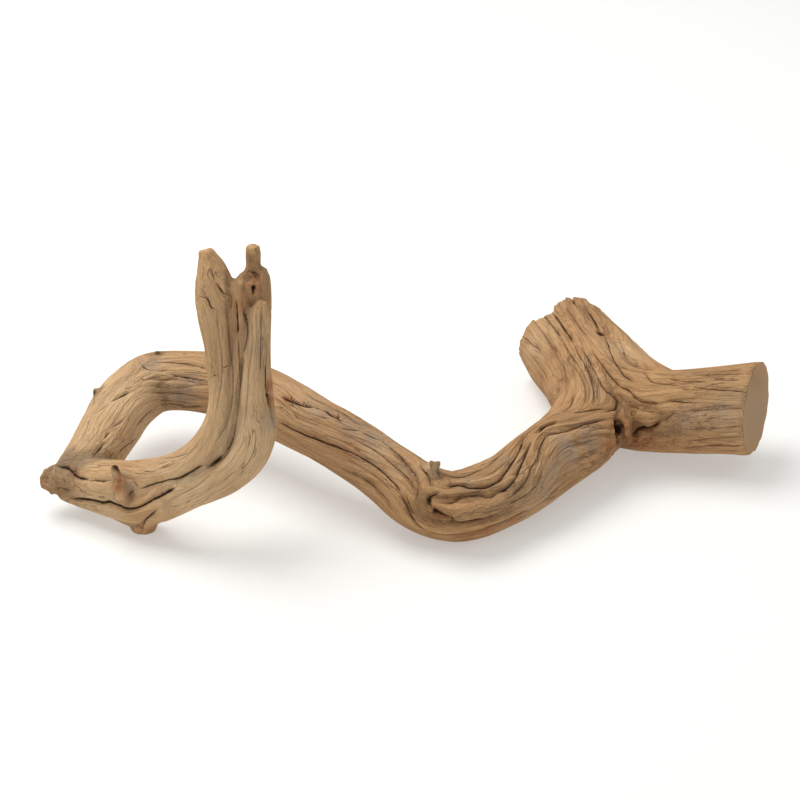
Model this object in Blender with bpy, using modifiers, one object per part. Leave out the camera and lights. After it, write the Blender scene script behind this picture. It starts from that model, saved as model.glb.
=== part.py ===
"""A weathered piece of driftwood: a broken trunk that forks into a sawn stub and a long crooked stem.

The stem dips to the ground, winds back behind itself, doubles round a broken elbow and returns to the front
as two strands that turn upwards and end in splinters. It grew as one piece, so it is one object.

Run it with: blender --background --python part.py
Sizes are in millimetres until the finished mesh is scaled to metres. +X is right, +Y is back and +Z is up.
"""

import bmesh
import bpy
import numpy as np
from mathutils import Matrix, Vector, noise
from mathutils.bvhtree import BVHTree

METRES = 0.001
WOOD_COLOUR = (0.40, 0.26, 0.15, 1.0)
WOOD_ROUGHNESS = 0.85

# Each limb is a row of stations along its heart line: x, y and z of the heart, half its width, half its
# height, and how deep the weather has cut furrows into it there.
TRUNK = [
    (80.5, 151, 22.0, 23.0, 22.5, 1.2),
    (84.5, 130, 22.0, 22.8, 22.5, 1.2),
    (89.5, 110, 22.5, 22.0, 21.5, 1.2),
    (95.5, 84, 24.0, 21.0, 20.5, 1.1),
]
STEM = TRUNK + [
    (85, 56, 22.5, 18.5, 18.0, 1.1),
    (66, 32, 20.5, 17.0, 17.0, 1.2),
    (45, 11, 17.5, 16.0, 16.8, 1.2),
    (22, 2, 15.8, 16.0, 16.5, 1.1),
    (9, 4, 19.5, 15.5, 15.5, 1.0),
    (-3, 14, 23.5, 14.3, 14.3, 1.0),
    (-25, 30, 31.2, 14.0, 14.0, 0.9),
    (-46, 44, 36.2, 14.6, 14.6, 0.8),
    (-64, 59, 37.8, 14.8, 14.8, 0.7),
    (-82, 72, 37.0, 14.7, 14.7, 0.7),
    (-100, 81, 35.0, 14.7, 14.7, 0.7),
    (-117, 81, 33.0, 14.7, 14.7, 0.6),
    (-127, 69, 31.0, 14.7, 14.7, 0.6),
    (-134, 47, 27.5, 13.8, 13.8, 0.5),
    (-141, 31, 22.5, 12.3, 12.3, 0.5),
    (-151, 22, 16.5, 9.3, 9.3, 0.6),
    (-160.5, 22, 11.5, 5.5, 6.0, 0.6),
]
STUB = TRUNK + [
    (113, 71, 24.5, 19.0, 19.5, 1.0),
    (131, 67, 26.5, 19.5, 20.0, 0.9),
    (150, 64, 29.0, 20.5, 21.0, 0.9),
    (168.5, 61, 31.0, 22.0, 22.5, 0.9),
]
CROOK = [
    (89, 146, 22.0, 19.0, 19.5, 1.2),
    (103, 121, 21.0, 17.0, 18.0, 1.1),
    (116, 98, 22.0, 14.0, 16.0, 1.0),
    (130, 80, 24.0, 12.0, 14.0, 0.9),
]
UPPER_STRAND = [
    (-146, 20, 20.0, 8.0, 8.0, 0.5),
    (-134, 14, 22.0, 9.0, 9.0, 0.5),
    (-115, 5, 27.0, 9.5, 9.5, 0.5),
    (-97, -3, 37.5, 8.0, 8.0, 0.5),
    (-85, -6, 49.0, 7.5, 7.5, 0.5),
    (-78, -6, 60.0, 7.5, 7.5, 0.5),
    (-75, -4, 73.5, 7.0, 7.0, 0.5),
    (-75.5, 0, 95.5, 7.5, 7.0, 0.5),
    (-77.5, 4, 115.0, 8.5, 7.0, 0.5),
    (-78, 6, 128.0, 7.5, 5.5, 0.4),
    (-81, 8, 139.0, 3.0, 3.0, 0.3),
]
LOWER_STRAND = [
    (-148, 19, 14.0, 6.0, 6.0, 0.5),
    (-126, 8, 14.0, 8.0, 8.0, 0.5),
    (-110, -1, 18.5, 9.0, 9.0, 0.5),
    (-91, -6, 31.0, 9.3, 9.3, 0.4),
    (-75, -9, 41.0, 9.8, 9.6, 0.4),
    (-65, -11, 52.0, 10.0, 9.3, 0.4),
    (-61, -10, 63.0, 9.0, 8.5, 0.4),
    (-61, -8, 76.5, 7.5, 7.0, 0.4),
    (-61, -6, 89.0, 6.5, 6.5, 0.4),
    (-60.3, -3, 104.5, 5.5, 4.5, 0.4),
    (-58.5, -1, 114.0, 4.5, 3.2, 0.3),
    (-57, 0, 119.0, 2.0, 2.2, 0.3),
]
BACK_STRAND = [
    (-74, 0, 44.0, 8.0, 8.0, 0.6),
    (-67, 5, 58.0, 9.0, 9.0, 0.6),
    (-64.5, 7, 81.0, 9.0, 8.5, 0.7),
    (-63, 8, 100.0, 8.5, 8.0, 0.7),
    (-62, 9, 114.0, 8.0, 7.0, 0.7),
    (-61.5, 10, 125.0, 7.5, 6.0, 0.7),
]
PEG = [
    (-62, 10, 118.0, 3.4, 3.2, 0.3),
    (-61.5, 11, 130.0, 3.8, 3.2, 0.3),
    (-61, 11.5, 139.0, 3.2, 2.8, 0.3),
]
KNOT_FOOT = [
    (-112, 5, 16.0, 8.5, 8.0, 0.4),
    (-114, 7, 8.0, 7.0, 6.5, 0.4),
    (-115.5, 7.5, -1.0, 5.0, 5.0, 0.4),
]
THORN = [
    (-121, 3, 20.0, 6.0, 5.5, 0.3),
    (-122.5, -1, 27.0, 4.2, 3.8, 0.3),
    (-126.5, 0, 37.0, 1.8, 1.8, 0.2),
]
TWIG_LEFT = [
    (17, 7, 26.0, 4.5, 3.5, 0.3),
    (14.5, 5, 32.0, 2.2, 2.2, 0.2),
    (13.2, 6, 37.5, 1.6, 1.6, 0.1),
]
TWIG_RIGHT = [
    (18, 7, 27.0, 3.5, 3.0, 0.3),
    (17, 5, 32.5, 1.8, 1.8, 0.2),
    (17.2, 6, 37.0, 1.5, 1.5, 0.1),
]
SPUR = [
    (14, -10, 23.0, 4.0, 3.5, 0.5),
    (24, -12, 23.0, 5.5, 4.0, 0.8),
    (40, -5, 22.5, 6.0, 4.0, 1.0),
    (56, 9, 24.0, 4.0, 3.0, 1.0),
]
CROTCH_SPLINTER = [
    (103, 53, 32.0, 4.5, 4.5, 0.4),
    (105, 45, 24.0, 3.2, 3.0, 0.3),
    (104.5, 45, 18.0, 1.8, 1.8, 0.2),
]
CROTCH_LUMP = [
    (110, 53, 34.0, 5.5, 5.5, 0.4),
    (118, 48, 31.0, 5.0, 5.0, 0.4),
    (124, 49, 28.0, 3.5, 3.5, 0.3),
]

UP = (0.0, 0.0, 1.0)
FRONT = (0.0, -1.0, 0.0)

# Name, stations, the way the top of its sections faces, and the shape of each end: its lean to the side
# and up, the step down that its side takes, and the depth of its jags.
SQUARE = (0.0, 0.0, 0.0, 0.0)
BROKEN = (2.0, 0.0, 9.0, 3.0)
LIMBS = [
    ("stem", STEM, UP, BROKEN, (4.0, 0.0, 0.0, 1.5)),
    ("stub", STUB, UP, BROKEN, (-4.5, -1.0, 0.0, 0.0)),
    ("crook", CROOK, UP, SQUARE, SQUARE),
    ("upper strand", UPPER_STRAND, FRONT, SQUARE, (0.0, 0.0, 0.0, 1.5)),
    ("lower strand", LOWER_STRAND, FRONT, SQUARE, (0.0, 0.0, 0.0, 0.5)),
    ("back strand", BACK_STRAND, FRONT, SQUARE, (0.0, 0.0, 0.0, 2.5)),
    ("peg", PEG, FRONT, SQUARE, SQUARE),
    ("knot foot", KNOT_FOOT, FRONT, SQUARE, SQUARE),
    ("thorn", THORN, FRONT, SQUARE, SQUARE),
    ("left twig", TWIG_LEFT, FRONT, SQUARE, SQUARE),
    ("right twig", TWIG_RIGHT, FRONT, SQUARE, SQUARE),
    ("spur", SPUR, UP, SQUARE, SQUARE),
    ("crotch splinter", CROTCH_SPLINTER, FRONT, SQUARE, SQUARE),
    ("crotch lump", CROTCH_LUMP, UP, SQUARE, SQUARE),
]
END_LENGTH = 10.0
STEP_SIDE = 0.25

# Grooves worn along the grain: half width, depth, and points of the line on the face of the wood.
GROOVES = [
    # belly, where the stem dips to the ground
    (2.6, 3.4, [(17, 0, 33), (22, -5, 31), (33, -4, 30), (44, 2, 31), (52, 16, 35), (57, 38, 33)]),
    (2.2, 2.4, [(39, -4, 29), (51, 6, 32), (58, 22, 36), (63, 37, 36), (68, 42, 37)]),
    (2.8, 4.0, [(14, -13, 25), (19, -16, 23), (29, -13, 17), (47, -6, 16), (57, 0, 19)]),
    (2.0, 2.2, [(20, -11, 27), (33, -10, 27), (47, -5, 25), (59, 8, 31), (63, 23, 36), (72, 31, 37)]),
    (1.8, 1.6, [(32, -16, 24), (48, -5, 23), (61, 7, 28), (66, 20, 34)]),
    (2.2, 2.2, [(-3, 6, 34), (6, -7, 29), (6, -11, 21), (13, -13, 14), (31, -12, 11), (41, -9, 12)]),
    (2.0, 2.2, [(-2, 17, 36), (6, 11, 35), (12, 1, 33), (10, -9, 28), (11, -12, 24)]),
    (2.0, 2.0, [(-24, 14, 27), (-9, 0, 24), (2, -10, 15), (11, -11, 9)]),
    (1.8, 1.8, [(24, 3, 33), (31, 4, 33), (39, 11, 33), (46, 24, 32)]),
    # stem behind the strands
    (1.5, 2.0, [(-60, 38, 39), (-44, 27, 38), (-19, 14, 35), (-4, -1, 30), (4, -11, 21), (9, -13, 15)]),
    (1.6, 1.6, [(-29, 27, 42), (-8, 16, 38), (5, 2, 34), (7, -5, 31)]),
    (1.8, 2.0, [(-56, 45, 48), (-49, 40, 48), (-39, 38, 47)]),
    (1.8, 1.8, [(-36, 37, 46), (-29, 34, 44), (-25, 29, 43)]),
    # trunk and fork
    (2.4, 3.0, [(86, 150, 43), (94, 131, 43), (98, 116, 42), (101, 92, 44), (108, 69, 43), (120, 60, 43)]),
    (2.2, 2.6, [(74, 144, 43), (82, 114, 43), (87, 89, 43), (97, 67, 43), (102, 55, 35)]),
    (2.2, 2.4, [(68, 146, 40), (77, 113, 40), (83, 85, 41), (90, 59, 42), (88, 49, 40)]),
    (2.2, 2.4, [(66, 140, 36), (74, 100, 35), (79, 65, 39), (76, 47, 39), (68, 45, 37)]),
    (2.0, 1.8, [(108, 124, 36), (115, 101, 38), (114, 75, 43), (125, 61, 44), (138, 58, 47)]),
    (2.0, 1.8, [(98, 78, 44), (104, 65, 41), (114, 55, 38), (134, 51, 40)]),
    (2.4, 2.8, [(78, 43, 39), (67, 44, 37), (62, 32, 36), (58, 15, 34), (54, 6, 31)]),
    (1.8, 1.8, [(84, 44, 39), (65, 33, 37), (64, 23, 36), (59, 12, 33)]),
    (2.0, 2.2, [(78, 44, 40), (94, 50, 38), (101, 56, 36)]),
    (1.8, 1.6, [(76, 32, 36), (85, 39, 37), (97, 47, 34)]),
    # sawn stub
    (1.6, 1.3, [(116, 72, 44), (129, 62, 46), (145, 56, 48), (162, 50, 48)]),
    (1.6, 1.3, [(125, 58, 43), (142, 54, 46), (162, 46, 47)]),
    (1.8, 1.5, [(122, 51, 34), (134, 49, 37), (162, 44, 43)]),
    (1.8, 1.5, [(129, 48, 27), (138, 46, 32), (162, 42, 39)]),
    (1.6, 1.3, [(138, 50, 15), (148, 46, 19), (162, 42, 23)]),
    (2.2, 3.0, [(110, 52, 21), (114, 47, 27), (119, 48, 30), (128, 50, 36)]),
    # arch and elbow
    (1.6, 1.2, [(-122, 78, 47), (-112, 73, 45), (-99, 73, 48), (-84, 66, 51)]),
    (1.6, 1.3, [(-139, 43, 40), (-133, 49, 42), (-124, 57, 42)]),
    (1.6, 1.2, [(-128, 27, 24), (-124, 36, 27), (-118, 51, 30), (-115, 60, 29)]),
    (1.8, 2.6, [(-158, 23, 24), (-149, 16, 27), (-141, 9, 26), (-129, 2, 29)]),
    (2.0, 2.8, [(-146, 11, 12), (-128, 0, 18), (-115, -7, 22), (-98, -12, 34)]),
    (1.5, 1.8, [(-115, -5, 30), (-106, -8, 33), (-91, -13, 42), (-84, -13, 46)]),
    (1.5, 1.6, [(-116, 3, 2), (-111, -9, 16), (-105, -12, 24)]),
    # between the strands
    (2.2, 3.2, [(-83, -13, 45), (-76, -15, 52), (-70, -11, 66), (-69, -10, 75), (-66, -7, 97)]),
    (1.8, 2.6, [(-69, 6, 124), (-68, -1, 103), (-69, -6, 90), (-70, -8, 78)]),
    (1.8, 2.4, [(-55, -9, 90), (-55, -11, 83), (-54, -12, 74), (-53, -12, 64)]),
    (1.6, 1.4, [(-57, -2, 117), (-58, -7, 105), (-58, -11, 93), (-57, -14, 78)]),
]

# Pits where knots, gaps and rot have left a hole: place, radius and depth.
PITS = [
    ((99, 50, 30), 2.4, 7.0),
    ((99, 48, 25), 2.0, 5.0),
    ((98.5, 116, 43), 2.6, 3.5),
    ((11, -13, 26), 3.0, 3.5),
    ((119, 48, 28), 3.5, 3.0),
    ((-146, 13, 26), 2.2, 3.0),
    ((-56, -13, 76), 2.2, 2.5),
]
GROOVE_STEP = 1.0

RING = 28
ROW_STEP = 2.0
VOXEL = 1.2
CLEAN_VOXEL = 1.0
FILLET_PASSES = 5
TRIANGLES = 11500

# Furrows follow the grain: their spacing round the limb, their length along it, how narrow they are,
# and their share of the depth.
FURROWS = [
    (8.0, 90.0, 0.30, 1.0),
    (4.2, 60.0, 0.35, 0.45),
]
WANDER = 2.2
WANDER_SCALE = 34.0
SWELL = 0.6
SWELL_SCALE = 22.0
BLEND = 7.0

# Flat places: where the wood rests on the ground, and the sawn end of the stub.
SAWN_PLACE = (165.4, 61.0, 31.0)
SAWN_OUTWARD = (0.90, -0.42, 0.10)
FLATS = [
    ((0.0, 0.0, 0.0), (0.0, 0.0, -1.0)),
    (SAWN_PLACE, SAWN_OUTWARD),
]


def smooth_line(stations, step):
    """Rows along a smooth curve through the stations, about one step apart."""
    knots = np.array(stations, float)
    gaps = np.linalg.norm(np.diff(knots[:, :3], axis=0), axis=1)
    reach = np.concatenate([[0.0], np.cumsum(gaps)])
    slopes = np.gradient(knots, reach, axis=0)
    along = np.linspace(0.0, reach[-1], max(2, round(reach[-1] / step) + 1))
    span = np.clip(np.searchsorted(reach, along, side="right") - 1, 0, len(gaps) - 1)
    t = ((along - reach[span]) / gaps[span])[:, None]
    width = gaps[span][:, None]
    rows = (
        (2 * t**3 - 3 * t**2 + 1) * knots[span]
        + (t**3 - 2 * t**2 + t) * width * slopes[span]
        + (3 * t**2 - 2 * t**3) * knots[span + 1]
        + (t**3 - t**2) * width * slopes[span + 1]
    )
    return along, rows


def unit(vectors):
    return vectors / np.linalg.norm(vectors, axis=-1, keepdims=True)


def frame_along(rows, facing):
    """Heart points, and the forward, side and up directions at each."""
    heart = rows[:, :3]
    forward = unit(np.gradient(heart, axis=0))
    up = np.array(facing) - (forward @ np.array(facing))[:, None] * forward
    up = unit(up)
    side = np.cross(forward, up)
    return heart, forward, side, up


def end_push(turn, distance, end):
    """How far an end reaches out at each turn of the section, fading away from the end."""
    lean_side, lean_up, step, jag = end
    push = lean_side * np.cos(turn) + lean_up * np.sin(turn) - step * (np.cos(turn) > STEP_SIDE)
    push = push + jag * np.array([noise.noise((3 * np.cos(a), 3 * np.sin(a), 5.0)) for a in turn])
    fade = np.clip(1 - distance / END_LENGTH, 0.0, 1.0)
    return fade[:, None] * push[None, :]


def limb_skin(stations, facing, start_end, far_end):
    """Points and faces of a closed skin round a limb."""
    along, rows = smooth_line(stations, ROW_STEP)
    heart, forward, side, up = frame_along(rows, facing)
    turn = np.linspace(0.0, 2 * np.pi, RING, endpoint=False)
    push = end_push(turn, along[-1] - along, far_end) - end_push(turn, along, start_end)
    rings = (
        heart[:, None]
        + np.cos(turn)[None, :, None] * rows[:, None, 3:4] * side[:, None]
        + np.sin(turn)[None, :, None] * rows[:, None, 4:5] * up[:, None]
        + push[:, :, None] * forward[:, None]
    )
    points = rings.reshape(-1, 3)
    faces = []
    for row in range(len(rows) - 1):
        for k in range(RING):
            a = row * RING + k
            b = row * RING + (k + 1) % RING
            faces.append((a, b, b + RING, a + RING))
    faces.append(tuple(reversed(range(RING))))
    faces.append(tuple(range(len(points) - RING, len(points))))
    return points, faces


def joined_skins():
    """One mesh with the skins of all the limbs, still passing through each other."""
    points, faces, start = [], [], 0
    for _, stations, facing, start_end, far_end in LIMBS:
        skin_points, skin_faces = limb_skin(stations, facing, start_end, far_end)
        points.append(skin_points)
        faces += [tuple(start + k for k in face) for face in skin_faces]
        start += len(skin_points)
    mesh = bpy.data.meshes.new("limbs")
    mesh.from_pydata(np.concatenate(points).tolist(), [], faces)
    mesh.update()
    return mesh


def modified(obj, steps):
    """The object's mesh after a list of modifiers, each a type and its settings."""
    for kind, settings in steps:
        modifier = obj.modifiers.new(kind.lower(), kind)
        for name, value in settings.items():
            setattr(modifier, name, value)
    graph = bpy.context.evaluated_depsgraph_get()
    mesh = bpy.data.meshes.new_from_object(obj.evaluated_get(graph))
    obj.modifiers.clear()
    obj.data = mesh
    return mesh


def mesh_points(mesh):
    points = np.empty(3 * len(mesh.vertices), np.float32)
    mesh.vertices.foreach_get("co", points)
    return points.reshape(-1, 3).astype(float)


def mesh_normals(mesh):
    normals = np.empty(3 * len(mesh.vertices), np.float32)
    mesh.vertex_normals.foreach_get("vector", normals)
    return normals.reshape(-1, 3).astype(float)


def grain_noise(points):
    return np.array([noise.noise(p) for p in points.tolist()])


def limb_grain(points, stations, facing):
    """Where points lie in a limb: across, up and along it, how far out, the furrow depth and its forward."""
    along, rows = smooth_line(stations, ROW_STEP)
    heart, forward, side, up = frame_along(rows, facing)
    nearest = np.empty(len(points), int)
    for first in range(0, len(points), 4000):
        part = points[first:first + 4000]
        gap = (heart**2).sum(1)[None] - 2 * part @ heart.T
        nearest[first:first + 4000] = gap.argmin(1)
    offset = points - heart[nearest]
    ahead = (offset * forward[nearest]).sum(1)
    across = (offset * side[nearest]).sum(1)
    above = (offset * up[nearest]).sum(1)
    past = np.clip(np.abs(ahead) - ROW_STEP, 0.0, None)
    radius = rows[nearest, 3:5].mean(1)
    out = np.sqrt(across**2 + above**2 + past**2) / radius
    return np.c_[across, above, along[nearest] + ahead], out, rows[nearest, 5], forward[nearest]


def carve_depth(points, normals):
    """How deep the furrows are at each point, blended where limbs meet."""
    grains = [limb_grain(points, stations, facing) for _, stations, facing, _, _ in LIMBS]
    outs = np.array([grain[1] for grain in grains])
    weights = np.exp(-BLEND * (outs - outs.min(0)))
    weights /= weights.sum(0)
    wander = np.c_[grain_noise(points / WANDER_SCALE), grain_noise(points / WANDER_SCALE + 9.0)]
    depth = np.zeros(len(points))
    for (place, _, amount, forward), weight in zip(grains, weights):
        use = weight > 0.03
        place = place[use].copy()
        place[:, :2] += WANDER * wander[use]
        cut = np.zeros(use.sum())
        for spacing, length, narrow, share in FURROWS:
            wave = grain_noise(place / (spacing, spacing, length))
            cut += share * np.clip(1 - np.abs(wave) / narrow, 0.0, 1.0) ** 1.5
        end_on = np.abs((normals[use] * forward[use]).sum(1))
        cut *= np.clip(1.3 - 1.6 * end_on, 0.0, 1.0)
        depth[use] += weight[use] * amount[use] * cut
    swell = SWELL * grain_noise(points / SWELL_SCALE + 40.0)
    return depth - swell


def skin_tree(mesh):
    corners = [vertex.co.copy() for vertex in mesh.vertices]
    return BVHTree.FromPolygons(corners, [tuple(face.vertices) for face in mesh.polygons])


def groove_depth(points, tree):
    """How deep the grooves and pits are at each point."""
    depth = np.zeros(len(points))
    for half_width, deep, knots in GROOVES:
        line = smooth_line(knots, GROOVE_STEP)[1]
        line = np.array([tree.find_nearest(Vector(p))[0] for p in line])
        near = ((points > line.min(0) - half_width) & (points < line.max(0) + half_width)).all(1)
        gap = np.linalg.norm(points[near][:, None] - line[None], axis=2)
        closest = gap.argmin(1)
        ends = np.sin(np.pi * (0.5 + np.arange(len(line))) / len(line)) ** 0.5
        profile = np.clip(1 - gap.min(1) / half_width, 0.0, 1.0)
        depth[near] = np.maximum(depth[near], deep * profile * ends[closest])
    for place, radius, deep in PITS:
        gap = np.linalg.norm(points - np.array(tree.find_nearest(Vector(place))[0]), axis=1)
        depth = np.maximum(depth, deep * np.exp(-(gap / radius) ** 2))
    return depth


def carve(mesh):
    points = mesh_points(mesh)
    normals = mesh_normals(mesh)
    depth = carve_depth(points, normals) + groove_depth(points, skin_tree(mesh))
    points -= depth[:, None] * normals
    mesh.vertices.foreach_set("co", points.astype(np.float32).ravel())
    mesh.update()


def cut_flat(mesh, place, outward):
    """Cut away all that lies outward of a plane, and close the cut with a flat face."""
    work = bmesh.new()
    work.from_mesh(mesh)
    parts = work.verts[:] + work.edges[:] + work.faces[:]
    cut = bmesh.ops.bisect_plane(
        work, geom=parts, dist=0.01, plane_co=place, plane_no=outward, clear_outer=True
    )
    rim = [part for part in cut["geom_cut"] if isinstance(part, bmesh.types.BMEdge)]
    filled = bmesh.ops.holes_fill(work, edges=rim, sides=0)
    bmesh.ops.triangulate(work, faces=filled["faces"])
    work.to_mesh(mesh)
    work.free()
    mesh.update()


def centre_on_ground(mesh):
    """Move the wood so that the middle of its box stands over the origin."""
    points = mesh_points(mesh)
    middle = (points.min(0) + points.max(0)) / 2
    mesh.transform(Matrix.Translation((-middle[0], -middle[1], -points[:, 2].min())))


def add_object(name, mesh):
    collection = bpy.data.collections.new(name)
    bpy.context.scene.collection.children.link(collection)
    obj = bpy.data.objects.new(name, mesh)
    collection.objects.link(obj)
    return obj


def dress(obj):
    """Plain weathered wood."""
    material = bpy.data.materials.new("wood")
    material.use_nodes = True
    shader = material.node_tree.nodes["Principled BSDF"]
    shader.inputs["Base Color"].default_value = WOOD_COLOUR
    shader.inputs["Roughness"].default_value = WOOD_ROUGHNESS
    obj.data.materials.clear()
    obj.data.materials.append(material)


def main():
    for obj in list(bpy.data.objects):
        bpy.data.objects.remove(obj)
    wood = add_object("driftwood", joined_skins())
    fuse = ("REMESH", {"mode": "VOXEL", "voxel_size": VOXEL})
    fillet = ("SMOOTH", {"iterations": FILLET_PASSES, "factor": 0.5})
    mesh = modified(wood, [fuse, fillet])
    carve(mesh)
    clean = ("REMESH", {"mode": "VOXEL", "voxel_size": CLEAN_VOXEL})
    mesh = modified(wood, [clean])
    share = TRIANGLES / (2 * len(mesh.polygons))
    mesh = modified(wood, [("TRIANGULATE", {}), ("DECIMATE", {"ratio": share})])
    for place, outward in FLATS:
        cut_flat(mesh, place, outward)
    centre_on_ground(mesh)
    mesh.transform(Matrix.Scale(METRES, 4))
    dress(wood)


main()
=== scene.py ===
# %% [markdown]
# # A piece of driftwood
# The real object is one length of vine-like wood that the sea and the sun, or a sandblaster, have stripped.
# A thick broken trunk forks into a sawn stub and a long crooked stem. The stem dips to the ground, winds
# back behind itself, doubles round a broken elbow and returns to the front as strands that end in splinters.
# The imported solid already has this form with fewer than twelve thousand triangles. This script grows the
# same wood again from the same measurements, finely enough for its small furrows, and gives it its finish.

import math

import bmesh
import bpy
import numpy as np
from mathutils import Matrix, Vector, noise
from mathutils.bvhtree import BVHTree
from mathutils.kdtree import KDTree


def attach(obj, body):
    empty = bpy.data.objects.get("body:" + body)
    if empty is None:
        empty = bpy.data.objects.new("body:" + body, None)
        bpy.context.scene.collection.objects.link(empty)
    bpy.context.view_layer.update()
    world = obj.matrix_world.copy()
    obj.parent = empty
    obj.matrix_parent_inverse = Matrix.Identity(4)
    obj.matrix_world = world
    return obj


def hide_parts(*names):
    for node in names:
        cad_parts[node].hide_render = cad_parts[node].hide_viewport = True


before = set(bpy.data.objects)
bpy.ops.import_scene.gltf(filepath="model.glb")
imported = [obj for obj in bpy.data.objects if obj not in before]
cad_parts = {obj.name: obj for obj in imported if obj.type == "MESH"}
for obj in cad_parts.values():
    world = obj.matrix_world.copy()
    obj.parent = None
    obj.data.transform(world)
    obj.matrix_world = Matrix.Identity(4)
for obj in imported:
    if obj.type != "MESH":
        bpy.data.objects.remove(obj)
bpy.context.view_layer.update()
MM = 0.001

# %% [markdown]
# ## The view
# The photograph looks down at about thirty degrees on wood that lies on a white table, and the lines of the
# stub hardly converge, so it was taken from far off with a long lens. A 90 mm lens a metre away gives that.
# The floor is a wide pale sheet. A studio sweep of paper could be modelled, but a plain white floor under
# a white sky looks the same and keeps the object's shadow soft and honest from every side.

# %% Camera and floor
VIEW_TILT = math.radians(30.0)
VIEW_DISTANCE = 1.0
LENS = 90.0
SENSOR = 36.0
LOOK_AT = (-5.493, 56.02, 0.0)
FLOOR_EDGE = 4.0
target = Vector(LOOK_AT) * MM
away = Vector((0.0, -math.cos(VIEW_TILT), math.sin(VIEW_TILT)))
camera = bpy.data.objects.new("camera", bpy.data.cameras.new("camera"))
camera.data.lens = LENS
camera.data.sensor_width = SENSOR
camera.location = target + away * VIEW_DISTANCE
camera.rotation_euler = (-away).to_track_quat("-Z", "Y").to_euler()
bpy.context.scene.collection.objects.link(camera)
bpy.context.scene.camera = camera

floor_mesh = bpy.data.meshes.new("floor")
floor_corners = [(FLOOR_EDGE * x, FLOOR_EDGE * y, 0.0) for x, y in ((-1, -1), (1, -1), (1, 1), (-1, 1))]
floor_mesh.from_pydata(floor_corners, [], [(0, 1, 2, 3)])
floor = bpy.data.objects.new("floor", floor_mesh)
bpy.context.scene.collection.objects.link(floor)
print("camera at", [round(v, 3) for v in camera.location])

# %% [markdown]
# ## Light
# The photograph's light is a bright soft ceiling: tops are pale, undersides stay readable, and the shadow is
# a thin grey pool that reaches a little towards the viewer and to the right. A sun would draw hard edges, so
# one large panel hangs above the wood, to its left and slightly behind it, and a white sky fills in from all
# round.

# %% Lamp and sky
PANEL_WIDE = 0.95
PANEL_DEEP = 0.75
PANEL_WATTS = 12.5
PANEL_PLACE = (-0.48, 0.22, 1.1)
PANEL_AIM = (0.0, 0.0, 0.03)
SKY_STRENGTH = 0.6
panel = bpy.data.lights.new("ceiling panel", "AREA")
panel.shape = "RECTANGLE"
panel.size = PANEL_WIDE
panel.size_y = PANEL_DEEP
panel.energy = PANEL_WATTS
lamp = bpy.data.objects.new("ceiling panel", panel)
lamp.location = PANEL_PLACE
lamp.rotation_euler = (Vector(PANEL_AIM) - lamp.location).to_track_quat("-Z", "Y").to_euler()
bpy.context.scene.collection.objects.link(lamp)
sky = bpy.data.worlds.new("studio")
sky.use_nodes = True
background = sky.node_tree.nodes["Background"]
background.inputs["Color"].default_value = (1.0, 1.0, 1.0, 1.0)
background.inputs["Strength"].default_value = SKY_STRENGTH
bpy.context.scene.world = sky
bpy.context.scene.view_settings.view_transform = "Standard"
print("panel", panel.energy, "W")

# %% [markdown]
# ## The limbs
# Every limb is measured as a row of stations along its heart line: x, y and z of the heart, half its width,
# half its height and how deep the weather has furrowed it, all in millimetres. A sculpted mesh could follow
# the wood as well, but stations can be read off, checked and changed one number at a time. Most are the
# measurements of the solid part. The twig, thorn and peg are finer here, and the fork's splinter, the foot's
# front and web, the rounded elbow and the slivers and nubs on and between the strands are added.

# %% Stations, in millimetres
TRUNK = [
    (80.5, 151, 22.0, 23.0, 22.5, 0.8),
    (84.5, 130, 22.0, 22.8, 22.5, 0.8),
    (89.5, 110, 22.5, 22.0, 21.5, 0.8),
    (95.5, 84, 24.0, 21.0, 20.5, 0.9),
]
STEM = TRUNK + [
    (85, 56, 22.5, 18.5, 18.0, 1.1),
    (66, 32, 20.5, 17.0, 17.0, 1.2),
    (45, 11, 17.5, 16.0, 16.8, 1.2),
    (22, 2, 15.8, 16.0, 16.5, 1.1),
    (9, 4, 19.5, 15.5, 15.5, 1.0),
    (-3, 14, 23.5, 14.3, 14.3, 1.0),
    (-25, 30, 31.2, 14.0, 14.0, 0.9),
    (-46, 44, 36.2, 14.6, 14.6, 0.8),
    (-64, 59, 37.8, 14.8, 14.8, 0.7),
    (-82, 72, 37.0, 14.7, 14.7, 0.7),
    (-100, 81, 35.0, 14.7, 14.7, 0.7),
    (-117, 81, 33.0, 14.7, 14.7, 0.6),
    (-127, 69, 31.0, 14.7, 14.7, 0.6),
    (-134, 47, 27.5, 13.8, 13.8, 0.5),
    (-141, 31, 22.5, 12.3, 12.3, 0.5),
    (-151, 22, 18.0, 8.8, 8.6, 0.6),
    (-159, 22.3, 15.6, 5.2, 4.8, 0.6),
    (-162.5, 22.6, 15.6, 2.6, 2.6, 0.6),
]
STUB = TRUNK + [
    (113, 71, 24.5, 19.0, 19.5, 0.8),
    (131, 67, 26.5, 19.5, 20.0, 0.7),
    (150, 64, 29.0, 20.5, 21.0, 0.7),
    (168.5, 61, 31.0, 22.0, 22.5, 0.7),
    (174, 60.2, 31.6, 22.1, 22.6, 0.7),
]
CROOK = [
    (89, 146, 22.0, 19.0, 19.5, 1.2),
    (103, 121, 21.0, 17.0, 18.0, 1.1),
    (116, 98, 22.0, 14.0, 16.0, 1.0),
    (130, 80, 24.0, 12.0, 14.0, 0.9),
]
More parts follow.
